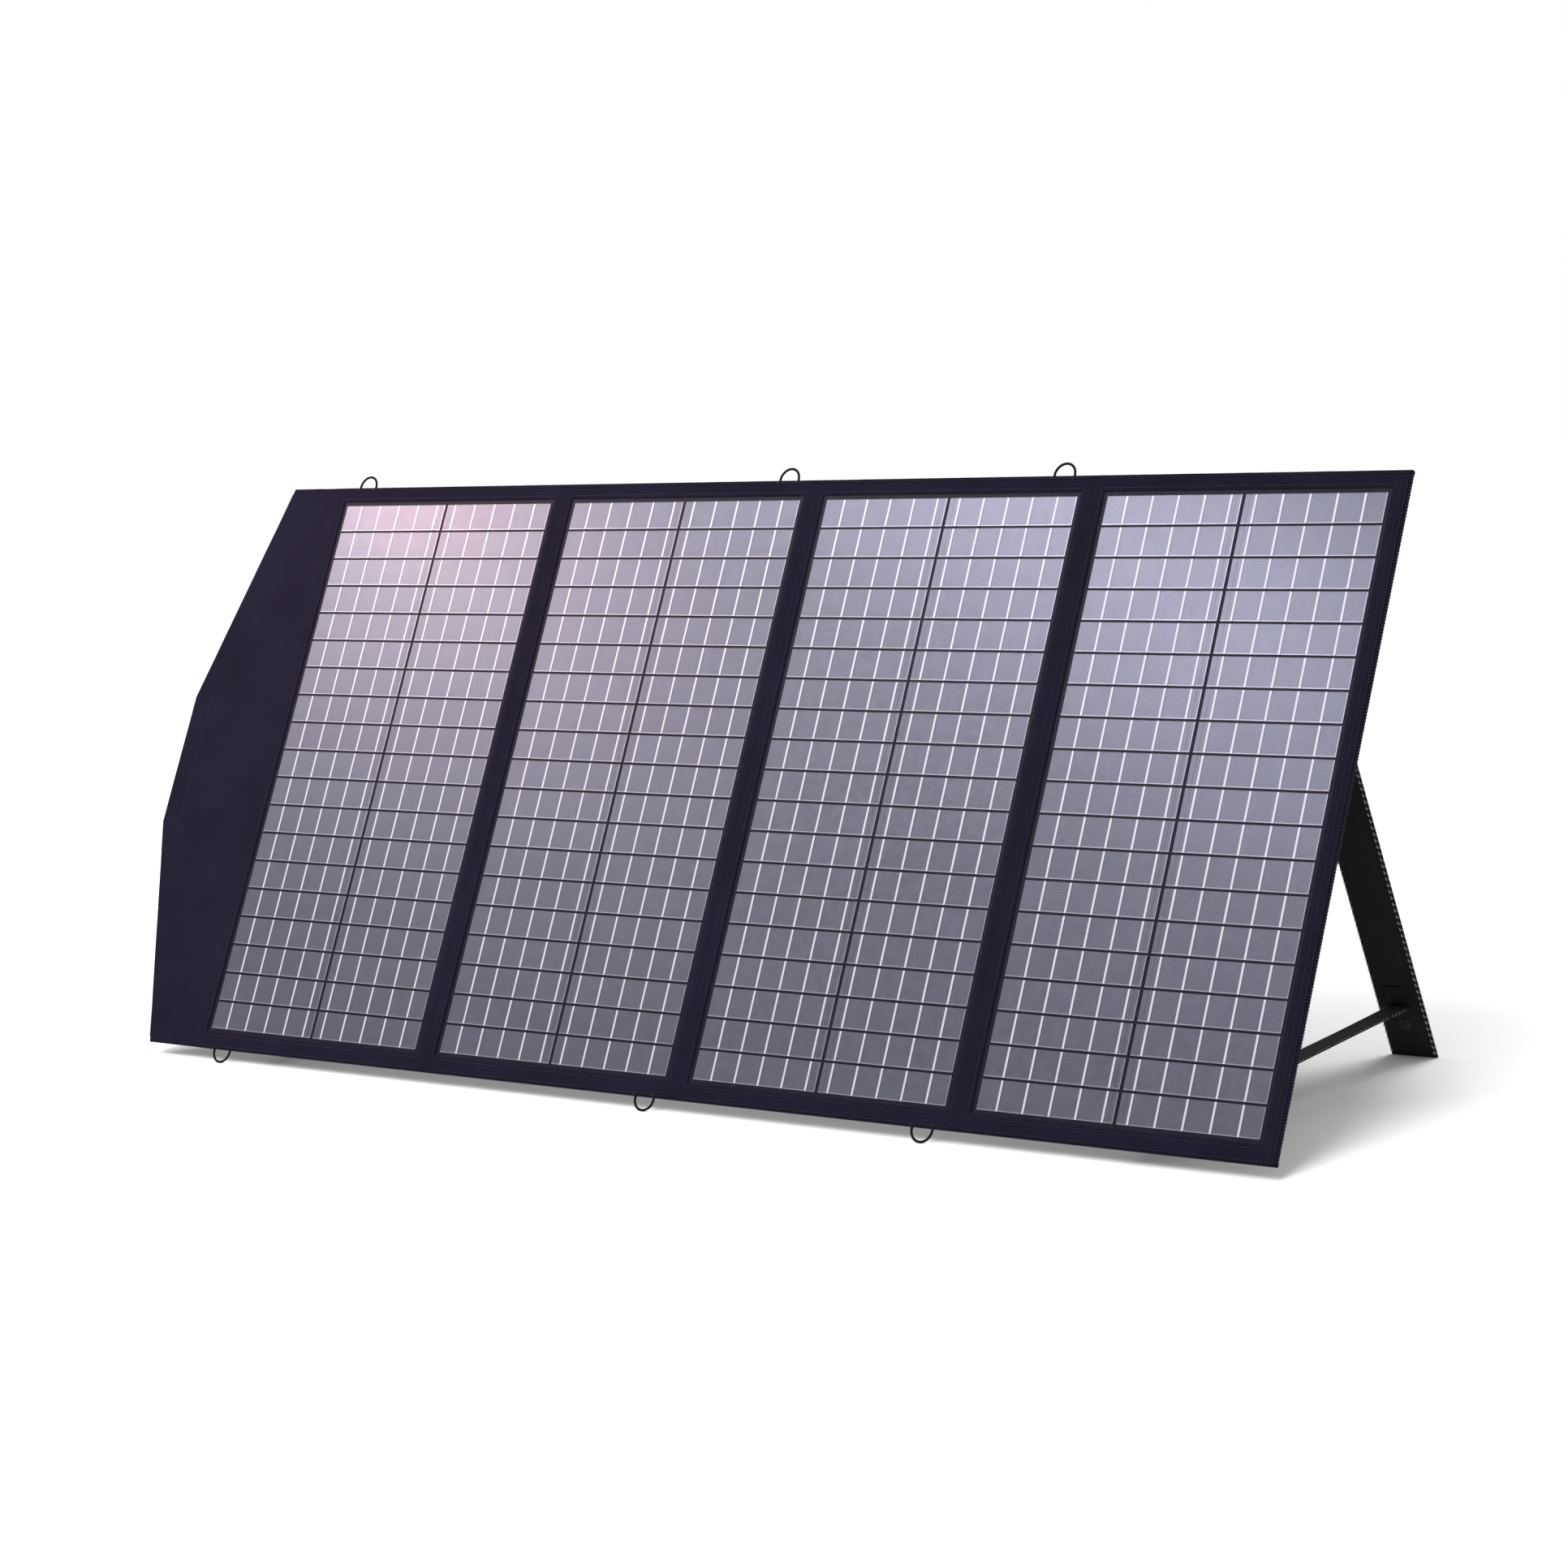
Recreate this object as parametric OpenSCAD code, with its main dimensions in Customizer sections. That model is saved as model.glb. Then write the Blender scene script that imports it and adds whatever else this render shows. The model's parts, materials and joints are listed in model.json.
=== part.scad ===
// Folding camping solar panel: four sewn panels in a row, with a closing flap on the left,
// a board leg behind each end panel, hanging loops, a junction box and a carrying handle.
//
// Every piece is drawn in the frame of the open sheet and then leaned back onto its legs.
// In the sheet's frame X runs along the row (0 on the middle fold), Y runs from the front
// face to the back, and Z runs up the sheet from its lower edge.

/* [Solar cells] */
// Width of one cell strip, along the row
cell_w = 156.75; // [120:0.25:182]
// Height of one cell strip (a fifth of a square cell)
cell_h = 31.35; // [25:0.05:36]
// Gap between the two columns of strips
column_gap = 3; // [2:0.5:6]
// Gap between one strip and the next above it
row_gap = 1.65; // [1:0.05:3]
// Strips in each column
rows = 19; // [6:1:24]
// Collector ribbons on each strip
ribbons_per_cell = 5; // [3:1:6]
// Width of one collector ribbon
ribbon_w = 2.2; // [1:0.1:3]
// Distance from one ribbon to the next
ribbon_pitch = 30.1; // [20:0.1:40]
// Distance from the column gap to the nearest ribbon
ribbon_first = 12.5; // [8:0.5:16]

/* [Panels] */
// Distance from one fold to the next
panel_pitch = 352; // [340:1:380]
// Height of the sheet
sheet_h = 670; // [600:1:760]
// Distance from the sheet's lower edge to the lowest cell
lower_margin = 23; // [16:0.5:40]
// Distance from the last panel's fold line to its outer edge
end_panel_w = 356; // [350:1:370]
// Dark backing sheet that shows around the cells, inside the fabric window
window_margin = 4.4; // [2:0.2:8]
// How far the stiff laminate reaches past the cells
laminate_margin = 10; // [7:0.5:12]
// Thickness of a panel, fabric to fabric
panel_t = 5; // [4:0.2:8]
// Thickness of the fabric layers
fabric_t = 0.8; // [0.5:0.1:1.2]
// Width of the edge binding
binding_w = 4; // [3:0.5:12]
// How far the binding stands proud of both faces
binding_proud = 0.4; // [0.2:0.1:0.8]

/* [Folds] */
// Width of the soft web between two stiff panels
web_w = 12; // [10:1:20]
// Distance of each fold axis outside the face that it closes on
fold_clear = 1.2; // [0.8:0.1:3]

/* [Closing flap] */
// Distance from the middle fold to the flap's outer edge
flap_reach = 853.5; // [800:0.5:900]
// Distance from the middle fold to where the flap's slanted edges begin
flap_shoulder = 779; // [750:1:820]
// Height of the lower end of the flap's outer edge
flap_tip_low = 259; // [200:1:300]
// Height of the upper end of the flap's outer edge
flap_tip_high = 411.5; // [380:0.5:480]
// Thickness of the flap and of the spine strip
flap_t = 3.6; // [3:0.2:6]
// Width of the spine strip's stiff middle
spine_w = 21; // [18:1:30]

/* [Standing] */
// How far the open sheet leans back from upright
lean = 27.2; // [10:0.1:45]
// Angle between the sheet and an open leg
leg_open = 49; // [30:1:60]
// Width of a leg
leg_w = 53; // [40:1:80]
// Thickness of a leg in its sleeve
leg_t = 4.4; // [3.6:0.2:8]
// Distance from the middle fold to the outer side of each leg
leg_outer = 600; // [580:1:680]
// Height of the leg's hinge line up the sheet
leg_hinge_v = 583; // [560:1:640]
// Width of the leg's webbing strap
strap_w = 25; // [15:1:40]

/* [Hanging loops] */
// Thickness of the loop cord
loop_cord = 2.5; // [2:0.1:4]
// Width of a loop outside its cord
loop_w = 27; // [20:1:40]
// How far a loop stands out of the edge
loop_out = 15; // [12:0.5:30]

/* [Junction box] */
// Width of the junction box
box_w = 90; // [60:1:120]
// Height of the junction box
box_h = 66; // [50:1:100]
// Depth of the junction box with its lid
box_d = 16; // [12:0.5:30]
// Bore of a cable gland
gland_bore = 6.4; // [4:0.1:10]

/* [Carrying handle] */
// Length of the handle between its two pins
handle_span = 200; // [140:1:260]
// How far the handle stands out
handle_rise = 38; // [30:1:60]
// Width of the handle's webbing
handle_w = 18; // [12:1:25]

/* [Hidden] */
PANELS = [1, 2, 3, 4];
$fn = 48;
ease = 0.1;                       // overshoot of a cut past the face that it opens
big = 2000;

// Layers of a panel, from its front face to its back
film_w0 = fabric_t;
film_t = 0.5;
ribbon_t = 0.15;
ribbon_w0 = film_w0 + film_t;
cell_t = 0.2;
cell_w0 = ribbon_w0 + ribbon_t;
board_w0 = cell_w0 + cell_t;
cover_w0 = panel_t - fabric_t;

// The arrays
array_w = 2 * cell_w + column_gap;
row_pitch = cell_h + row_gap;
array_h = rows * row_pitch - row_gap;
lower_extra = 3;                  // the laminate reaches further below the cells than beside them
laminate_half = array_w / 2 + laminate_margin;
laminate_lo = lower_margin - laminate_margin - lower_extra;
web_inset = 0.3;                  // a fold's fabric lies a little below the panels' faces
laminate_hi = lower_margin + array_h + laminate_margin;
function panel_mid(i) = (i - 2.5) * panel_pitch;
function fold_u(i) = (i - 2) * panel_pitch;
right_edge = panel_pitch + end_panel_w;

// The spine strip and the flap: the turned flap clears the folded stack and a folded leg
spine_end = panel_pitch * 2 - 4;
edge_gap = 1.4;                   // the turned spine passes the last panel's outer edge
spine_axis_u = -(right_edge + edge_gap);
spine_axis_w = -fold_clear;
leg_axis_w = panel_t + 2.6;
leg_inset = 0.3;
stack_depth = 3 * panel_t + 6 * fold_clear;
leg_proud = leg_axis_w + leg_inset + leg_t - panel_t;
flap_w0 = 0.3;
flap_gap = 1.2;
flap_plane = stack_depth + leg_proud + flap_gap;
flap_axis_u = spine_axis_u - (flap_plane - fold_clear - flap_w0 - fold_clear);
axis_gap = 4.2;                   // soft web on each side of the flap's axis
spine_lo = flap_axis_u + axis_gap;
spine_hi = spine_lo + spine_w;
flap_start = flap_axis_u - axis_gap;
spine_back = flap_w0 + flap_t;
flap_mid_w = flap_w0 + flap_t / 2;

// The legs: a foot ends flat on the ground
loop_r = loop_cord / 2;
loop_mid_w = panel_t / 2;
ground = (loop_out - loop_r) * cos(lean) + loop_mid_w * sin(lean) + loop_r;
leg_tilt = leg_open - lean;
leg_mid = leg_outer - leg_w / 2;
hinge_y = leg_hinge_v * sin(lean) + leg_axis_w * cos(lean);
hinge_z = leg_hinge_v * cos(lean) - leg_axis_w * sin(lean) + ground;
leg_outside = leg_inset + leg_t;
leg_len = (hinge_z + leg_inset * sin(leg_tilt)) / cos(leg_tilt);
foot_back = hinge_y + leg_outside * cos(leg_tilt)
    + (hinge_z + leg_outside * sin(leg_tilt)) * tan(leg_tilt);
leg_start = 6;                    // where the boarded part begins, below the hinge line
flange_up = 3;
flange_t = 1.2;
foot_spare = 60;                  // length cut off where the foot meets the ground
strap_t = 1.4;
strap_up_leg = 60;
strap_on_panel = 30;
strap_tab = 24;
snap_up_leg = 38;
snap_r = 7;
snap_t = 1;

// The row's own origin: on the ground, in the middle of its box
front_y = -(loop_out - loop_r) * sin(lean) + loop_mid_w * cos(lean) - loop_r;
mid_x = (right_edge - flap_reach) / 2;
mid_y = (front_y + foot_back) / 2;

// Loops, box, pocket and handle
LOOPS_U = [-661, -39.6, 312];
box_u = -452;
box_v = 548;
box_wall = 2;
lid_t = 3;
gland_r = 7.5;
gland_l = 16;
gland_gap = 40;
pocket_w = 150;
pocket_h = 210;
pocket_v = 130;
pocket_t = 2.4;
zip_inset = 18;
zip_slot = 5;
zip_travel = 118;
handle_u = (spine_lo + spine_hi) / 2;
handle_v = sheet_h / 2;
handle_t = 2.4;
handle_axis_w = spine_back + 4.4;
anchor_t = 1.6;
pin_r = 1;
grip_l = 112;
magnet_r = 9;
MAGNETS_V = [275, 335, 395];
magnet_t = flap_t - 2 * fabric_t - 0.2;
magnet_u = -(flap_reach - 16.5);
plate_u = magnet_u - flap_axis_u - spine_axis_u;
plate_t = 0.8;

// Places its children, drawn in the sheet's frame, on the ground
module sheet() {
    translate([-mid_x, -mid_y, ground]) rotate([-lean, 0, 0]) children();
}

// A block between two corners given as [along, height] pairs and a pair of depths
module slab(lo, hi, depths) {
    translate([lo[0], depths[0], lo[1]]) cube([hi[0] - lo[0], depths[1] - depths[0], hi[1] - lo[1]]);
}

// An outline given as [along, height] points, between two depths
module plate(points, depths) {
    translate([0, depths[1], 0]) rotate([90, 0, 0])
        linear_extrude(depths[1] - depths[0]) polygon(points);
}

// ---- Panels ----

function stiff_lo(i) = i == 1 ? -spine_end : fold_u(i - 1) + web_w / 2;
function stiff_hi(i) = i == 4 ? right_edge : fold_u(i) - web_w / 2;

// A panel's fabric outline, inside the binding
module panel_block(i, depths) {
    last = i == 4 ? fabric_t : 0;
    slab([stiff_lo(i), fabric_t], [stiff_hi(i) - last, sheet_h - fabric_t], depths);
}

module laminate_block(i, depths) {
    mid = panel_mid(i);
    slab([mid - laminate_half, laminate_lo], [mid + laminate_half, laminate_hi], depths);
}

module window_block(i, depths) {
    mid = panel_mid(i);
    half = array_w / 2 + window_margin;
    slab([mid - half, lower_margin - window_margin],
         [mid + half, lower_margin + array_h + window_margin], depths);
}

module front_frame(i) {
    color("#2a2536") sheet() difference() {
        panel_block(i, [0, fabric_t]);
        window_block(i, [-ease, fabric_t + ease]);
    }
}

// Clear film over the cells, with a turned rim that seals them onto the board
module film(i) {
    rim = 3;
    mid = panel_mid(i);
    color("#d8d8e4", 0.25) sheet() difference() {
        laminate_block(i, [film_w0, board_w0]);
        slab([mid - laminate_half + rim, laminate_lo + rim],
             [mid + laminate_half - rim, laminate_hi - rim], [ribbon_w0, board_w0 + ease]);
    }
}

module ribbons(i) {
    color("#e6e6ec") sheet()
        for (side = [-1, 1], k = [0:ribbons_per_cell - 1]) {
            u = panel_mid(i) + side * (column_gap / 2 + ribbon_first + k * ribbon_pitch);
            slab([u - ribbon_w / 2, lower_margin], [u + ribbon_w / 2, lower_margin + array_h],
                 [ribbon_w0, cell_w0]);
        }
}

module cells(i) {
    color("#8a8799") sheet()
        for (side = [0, 1], k = [0:rows - 1]) {
            u = panel_mid(i) - array_w / 2 + side * (cell_w + column_gap);
            v = lower_margin + k * row_pitch;
            slab([u, v], [u + cell_w, v + cell_h], [cell_w0, board_w0]);
        }
}

module board(i) {
    color("#1d1a28") sheet() laminate_block(i, [board_w0, cover_w0]);
}

// Back fabric with the padded border that surrounds the board
module back_cover(i) {
    color("#1f1c22") sheet() difference() {
        panel_block(i, [fabric_t, panel_t]);
        laminate_block(i, [fabric_t - ease, cover_w0]);
    }
}

// Tape sewn round the free edges
module binding(i) {
    lo = stiff_lo(i);
    hi = stiff_hi(i);
    right_in = i == 4 ? fabric_t : -ease;
    right_open = i == 4 ? binding_w : -ease;
    color("#221e2c") sheet() difference() {
        slab([lo, 0], [hi, sheet_h], [-binding_proud, panel_t + binding_proud]);
        slab([lo - ease, fabric_t], [hi - right_in, sheet_h - fabric_t], [0, panel_t]);
        slab([lo - ease, binding_w], [hi - right_open, sheet_h - binding_w],
             [-binding_proud - ease, panel_t + binding_proud + ease]);
    }
}

// ---- Folds ----

// Two layers of fabric that bridge a fold
module web(lo, hi, layers) {
    color("#26212f") sheet() for (w = layers) slab([lo, fabric_t], [hi, sheet_h - fabric_t], w);
}

module fold_web(i) {
    web(fold_u(i) - web_w / 2, fold_u(i) + web_w / 2,
        [[web_inset, web_inset + fabric_t], [panel_t - web_inset - fabric_t, panel_t - web_inset]]);
}

// Flat copper leads that carry the current across a fold
module fold_leads(i) {
    lead_w = 8;
    lead_t = 0.4;
    color("#b87333") sheet() for (v = [40, sheet_h - 40])
        slab([fold_u(i) - web_w / 2, v - lead_w / 2], [fold_u(i) + web_w / 2, v + lead_w / 2],
             [(panel_t - lead_t) / 2, (panel_t + lead_t) / 2]);
}

// ---- Spine and flap ----

module spine_web() {
    web(spine_hi, -spine_end, [[flap_w0, flap_w0 + fabric_t], [spine_back - fabric_t, spine_back]]);
}

module spine_strip() {
    color("#26212f") sheet() slab([spine_lo, 0], [spine_hi, sheet_h], [flap_w0, spine_back]);
}

module flap_web() {
    web(flap_start, spine_lo, [[flap_w0, flap_w0 + fabric_t], [spine_back - fabric_t, spine_back]]);
}

// The flap's outline, drawn in by a seam allowance
module flap_outline(seam, depths) {
    plate([
        [flap_start - seam, seam],
        [-flap_shoulder - seam / 2, seam],
        [-flap_reach + seam, flap_tip_low + seam / 3],
        [-flap_reach + seam, flap_tip_high - seam / 3],
        [-flap_shoulder - seam / 2, sheet_h - seam],
        [flap_start - seam, sheet_h - seam]
    ], depths);
}

module flap_cover() {
    color("#2a2536") sheet() difference() {
        flap_outline(0, [flap_w0, spine_back]);
        flap_outline(6, [flap_w0 + fabric_t, spine_back - fabric_t]);
    }
}

// A disc of the given radius between two depths
module disc(u, v, r, depths) {
    translate([u, depths[1], v]) rotate([90, 0, 0]) cylinder(r = r, h = depths[1] - depths[0]);
}

module flap_board() {
    color("#6f6a60") sheet() difference() {
        flap_outline(6.6, [flap_w0 + fabric_t + 0.05, spine_back - fabric_t - 0.05]);
        for (v = MAGNETS_V) disc(magnet_u, v, magnet_r + 0.2, [0, panel_t]);
    }
}

module flap_magnets() {
    color("#9a9aa0") sheet() for (v = MAGNETS_V)
        disc(magnet_u, v, magnet_r, [flap_mid_w - magnet_t / 2, flap_mid_w + magnet_t / 2]);
}

// Steel discs on the last panel's back, which the flap's magnets hold
module strike_plates() {
    color("#34313a") sheet() for (v = MAGNETS_V)
        disc(plate_u, v, magnet_r, [panel_t, panel_t + plate_t]);
}

// ---- Handle ----

module handle_anchors() {
    post_l = 4;
    post_w = 4.8;
    cap = 1.8;
    gap = 0.3;
    patch_l = 32;
    pin_past = 2;
    color("#1b191f") sheet() for (end = [-1, 1]) translate([handle_u, 0, handle_v]) {
        tip = end * handle_span / 2;
        out = tip + end * (handle_t / 2 + gap);
        pin_l = handle_t / 2 + gap + pin_past;
        translate([-handle_w / 2, spine_back, tip - patch_l / 2]) cube([handle_w, anchor_t, patch_l]);
        translate([-post_w / 2, spine_back, min(out, out + end * post_l)])
            cube([post_w, handle_axis_w - spine_back + cap, post_l]);
        translate([0, handle_axis_w, min(out, tip - end * pin_past)])
            cylinder(r = pin_r, h = pin_l + ease);
    }
}

// Half an ellipse standing out from a line, as [outwards, along] points
function arch(a, b, n) = [for (k = [0:n]) [b * sin(180 * k / n), a * cos(180 * k / n)]];

// An outline given as [depth, height] points, between two places along the row
module profile(points, lo, hi) {
    translate([lo, 0, 0]) rotate([90, 0, 90]) linear_extrude(hi - lo) polygon(points);
}

// The band between two arches, one inside and one outside the handle's middle line
module handle_band(offset, half) {
    difference() {
        profile(arch(handle_span / 2 + offset, handle_rise + offset, 28), -half, half);
        profile(arch(handle_span / 2 - offset, handle_rise - offset, 28), -half - ease, half + ease);
    }
}

// Webbing gathered to a narrow neck at each end, where it turns on its pin
module handle_strap() {
    neck = 2.1;
    under = 1.5;
    half = handle_w / 2;
    color("#1b191f") sheet() translate([handle_u, handle_axis_w, handle_v]) difference() {
        union() {
            handle_band(handle_t / 2, half);
            for (end = [-1, 1])
                translate([-neck, -under, end * handle_span / 2 - handle_t / 2])
                    cube([2 * neck, under + 2.2, handle_t]);
        }
        for (side = [0, 1]) mirror([side, 0, 0]) translate([0, 0, -handle_span])
            linear_extrude(2 * handle_span)
                polygon([[neck, -3], [neck, 4], [half, 16], [half + 5, 16], [half + 5, -3]]);
        translate([0, 0, -handle_span]) cylinder(r = pin_r + 0.06, h = 2 * handle_span);
    }
}

// Padded sleeve round the middle of the webbing
module handle_grip() {
    pad = 2.2;
    color("#141318") sheet() translate([handle_u, handle_axis_w, handle_v]) difference() {
        intersection() {
            handle_band(handle_t / 2 + pad, handle_w / 2 + pad);
            translate([-handle_w, 0, -grip_l / 2]) cube([2 * handle_w, 2 * handle_rise, grip_l]);
        }
        handle_band(handle_t / 2 + 0.05, handle_w / 2 + 0.05);
    }
}

// ---- Legs ----

// The frame of a leg at its hinge: Z points up the leg, Y to its outer side, and the leg
// lies against the sheet when it isn't turned open
module leg_frame(side) {
    translate([side * leg_mid, leg_axis_w, leg_hinge_v]) rotate([leg_open, 0, 0]) children();
}

module leg_block(half, top, bottom, depths) {
    translate([-half, depths[0], bottom]) cube([2 * half, depths[1] - depths[0], top - bottom]);
}

// Everything above a level over the ground
module above(level) {
    translate([-big, -big, level]) cube([2 * big, 2 * big, big]);
}

module leg_core(side, wall) {
    intersection() {
        sheet() leg_frame(side)
            leg_block(leg_w / 2 - wall, -leg_start - wall, -leg_len - foot_spare,
                      [leg_inset + wall, leg_inset + leg_t - wall]);
        above(wall);
    }
}

module leg_board(side) {
    color("#5b564c") leg_core(side, fabric_t + 0.05);
}

// Fabric sleeve, closed round its board, with a thin hinge flange sewn to the sheet's back
module leg_sleeve(side) {
    color("#1a1718") union() {
        difference() {
            leg_core(side, 0);
            leg_core(side, fabric_t);
        }
        sheet() leg_frame(side)
            leg_block(leg_w / 2, flange_up, -leg_start, [leg_inset, leg_inset + flange_t]);
    }
}

// A place in a leg's frame, as [depth, height] in the sheet's frame
function on_leg(out, up) = [
    leg_axis_w + out * cos(leg_open) - up * sin(leg_open),
    leg_hinge_v + out * sin(leg_open) + up * cos(leg_open)
];

// Webbing from the sheet's back to the leg, which stops the leg when it is taut. Each end is
// turned up and sewn flat.
module leg_strap(side) {
    low = [panel_t, strap_on_panel];
    hold = on_leg(leg_inset, -leg_len + strap_up_leg);
    rise = atan2(hold[1] - low[1], hold[0] - low[0]);
    bend = 90 + leg_open - rise;
    leg_step = strap_t * tan(bend / 2);
    panel_step = strap_t * tan((90 + rise) / 2);
    color("#191617") sheet() profile([
        low,
        hold,
        on_leg(leg_inset, -leg_len + strap_up_leg + strap_tab),
        on_leg(leg_inset - strap_t, -leg_len + strap_up_leg + strap_tab),
        on_leg(leg_inset - strap_t, -leg_len + strap_up_leg + leg_step),
        [panel_t + strap_t, strap_on_panel + panel_step],
        [panel_t + strap_t, strap_on_panel + strap_tab],
        [panel_t, strap_on_panel + strap_tab]
    ], side * leg_mid - strap_w / 2, side * leg_mid + strap_w / 2);
}

// Press stud on the inner side of the leg, below the strap
module leg_snap(side) {
    color("#232023") sheet() leg_frame(side)
        disc(0, -leg_len + snap_up_leg, snap_r, [leg_inset - snap_t, leg_inset]);
}

// ---- Hanging loops ----

// A half ring on two short legs that ends on the sheet's edge
module edge_loop(u) {
    half = loop_w / 2 - loop_r;
    stem = loop_out - loop_r - half;
    translate([u, loop_mid_w, 0]) {
        translate([0, 0, stem]) rotate([90, 0, 0]) rotate_extrude(angle = 180)
            translate([half, 0]) circle(r = loop_r);
        for (end = [-1, 1]) translate([end * half, 0, 0]) cylinder(r = loop_r, h = stem);
    }
}

module hanging_loops(i) {
    color("#17151b") sheet() {
        translate([0, 0, sheet_h]) edge_loop(LOOPS_U[i - 1]);
        mirror([0, 0, 1]) edge_loop(LOOPS_U[i - 1]);
    }
}

// ---- Junction box, pocket and zip ----

module box_block(inset, depths) {
    slab([box_u - box_w / 2 + inset, box_v - box_h / 2 + inset],
         [box_u + box_w / 2 - inset, box_v + box_h / 2 - inset], depths);
}

module gland_axes() {
    for (side = [-1, 1]) translate([box_u + side * gland_gap / 2,
        panel_t + (box_d - lid_t) / 2, box_v - box_h / 2]) children();
}

module junction_box_base() {
    color("#242326") sheet() difference() {
        box_block(0, [panel_t, panel_t + box_d - lid_t]);
        box_block(box_wall, [panel_t + box_wall, panel_t + box_d]);
        gland_axes() translate([0, 0, -ease]) cylinder(d = gland_bore, h = box_wall + 2 * ease);
    }
}

module junction_box_lid() {
    color("#1f1e21") sheet() difference() {
        union() {
            box_block(0, [panel_t + box_d - lid_t, panel_t + box_d]);
            box_block(box_wall + 0.1, [panel_t + box_d - lid_t - 1.5, panel_t + box_d - lid_t + ease]);
        }
        box_block(2 * box_wall, [panel_t, panel_t + box_d - lid_t]);
    }
}

// Two cable glands under the box, open downwards
module cable_glands() {
    nut_l = 5;
    color("#2c2b2f") sheet() gland_axes() difference() {
        union() {
            translate([0, 0, -gland_l]) cylinder(r = gland_r - 1.5, h = gland_l);
            translate([0, 0, -gland_l]) cylinder(r1 = gland_r - 2.5, r2 = gland_r - 1.2, h = 6);
            translate([0, 0, -nut_l]) cylinder(r = 6.3, h = nut_l, $fn = 6);
        }
        translate([0, 0, -gland_l - ease]) cylinder(d = gland_bore, h = gland_l + 2 * ease);
    }
}

// Flat patch pocket, empty, with a slot for its zip near the top
module pocket_cover() {
    hem = 6;
    lo = [box_u - pocket_w / 2, pocket_v];
    hi = [box_u + pocket_w / 2, pocket_v + pocket_h];
    top = hi[1] - zip_inset;
    color("#201d23") sheet() difference() {
        slab(lo, hi, [panel_t, panel_t + pocket_t]);
        slab([lo[0] + hem, lo[1] + hem], [hi[0] - hem, hi[1] - hem], [panel_t - ease, panel_t + 1.2]);
        slab([lo[0] + 10, top - zip_slot / 2], [hi[0] - 10, top + zip_slot / 2],
             [panel_t, panel_t + pocket_t + ease]);
    }
}

// Zip slider with its pull tab, at the closed end of the zip
module zip_slider() {
    pull_l = 20;
    u = box_u - zip_travel / 2;
    v = pocket_v + pocket_h - zip_inset;
    face = panel_t + pocket_t + 0.3;
    color("#8e8e94") sheet() {
        slab([u - 4.5, v - 3.5], [u + 4.5, v + 3.5], [face, face + 2]);
        slab([u - 1.5, v - 2], [u + 1.5, v + 2], [face + 2, face + 3.4]);
        slab([u - 2.5, v - pull_l], [u + 2.5, v - 1], [face + 3.4, face + 4.6]);
    }
}

front_frame(1);  // panel_1_front_frame
front_frame(2);  // panel_2_front_frame
front_frame(3);  // panel_3_front_frame
front_frame(4);  // panel_4_front_frame
film(1);  // panel_1_film
film(2);  // panel_2_film
film(3);  // panel_3_film
film(4);  // panel_4_film
ribbons(1);  // panel_1_ribbons
ribbons(2);  // panel_2_ribbons
ribbons(3);  // panel_3_ribbons
ribbons(4);  // panel_4_ribbons
cells(1);  // panel_1_cells
cells(2);  // panel_2_cells
cells(3);  // panel_3_cells
cells(4);  // panel_4_cells
board(1);  // panel_1_board
board(2);  // panel_2_board
board(3);  // panel_3_board
board(4);  // panel_4_board
back_cover(1);  // panel_1_back_cover
back_cover(2);  // panel_2_back_cover
back_cover(3);  // panel_3_back_cover
back_cover(4);  // panel_4_back_cover
binding(1);  // panel_1_binding
binding(2);  // panel_2_binding
binding(3);  // panel_3_binding
binding(4);  // panel_4_binding
fold_web(1);  // fold_web_12
fold_web(2);  // fold_web_23
fold_web(3);  // fold_web_34
fold_leads(1);  // fold_leads_12
fold_leads(2);  // fold_leads_23
fold_leads(3);  // fold_leads_34
spine_web();
spine_strip();
handle_anchors();
handle_strap();
handle_grip();
flap_web();
flap_cover();
flap_board();
flap_magnets();
strike_plates();
leg_board(-1);  // leg_left_board
leg_sleeve(-1);  // leg_left_sleeve
leg_strap(-1);  // leg_left_strap
leg_snap(-1);  // leg_left_snap
leg_board(1);  // leg_right_board
leg_sleeve(1);  // leg_right_sleeve
leg_strap(1);  // leg_right_strap
leg_snap(1);  // leg_right_snap
hanging_loops(1);  // hanging_loops_1
hanging_loops(2);  // hanging_loops_2
hanging_loops(3);  // hanging_loops_3
junction_box_base();
junction_box_lid();
cable_glands();
pocket_cover();
zip_slider();
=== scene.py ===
"""Folding camping solar panel, open on its two board legs."""
import json
import random
from functools import partial
from math import asin, copysign, cos, exp, hypot, pi, radians, sin, sqrt

import bmesh
import bpy
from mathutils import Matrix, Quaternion, Vector, noise

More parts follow.
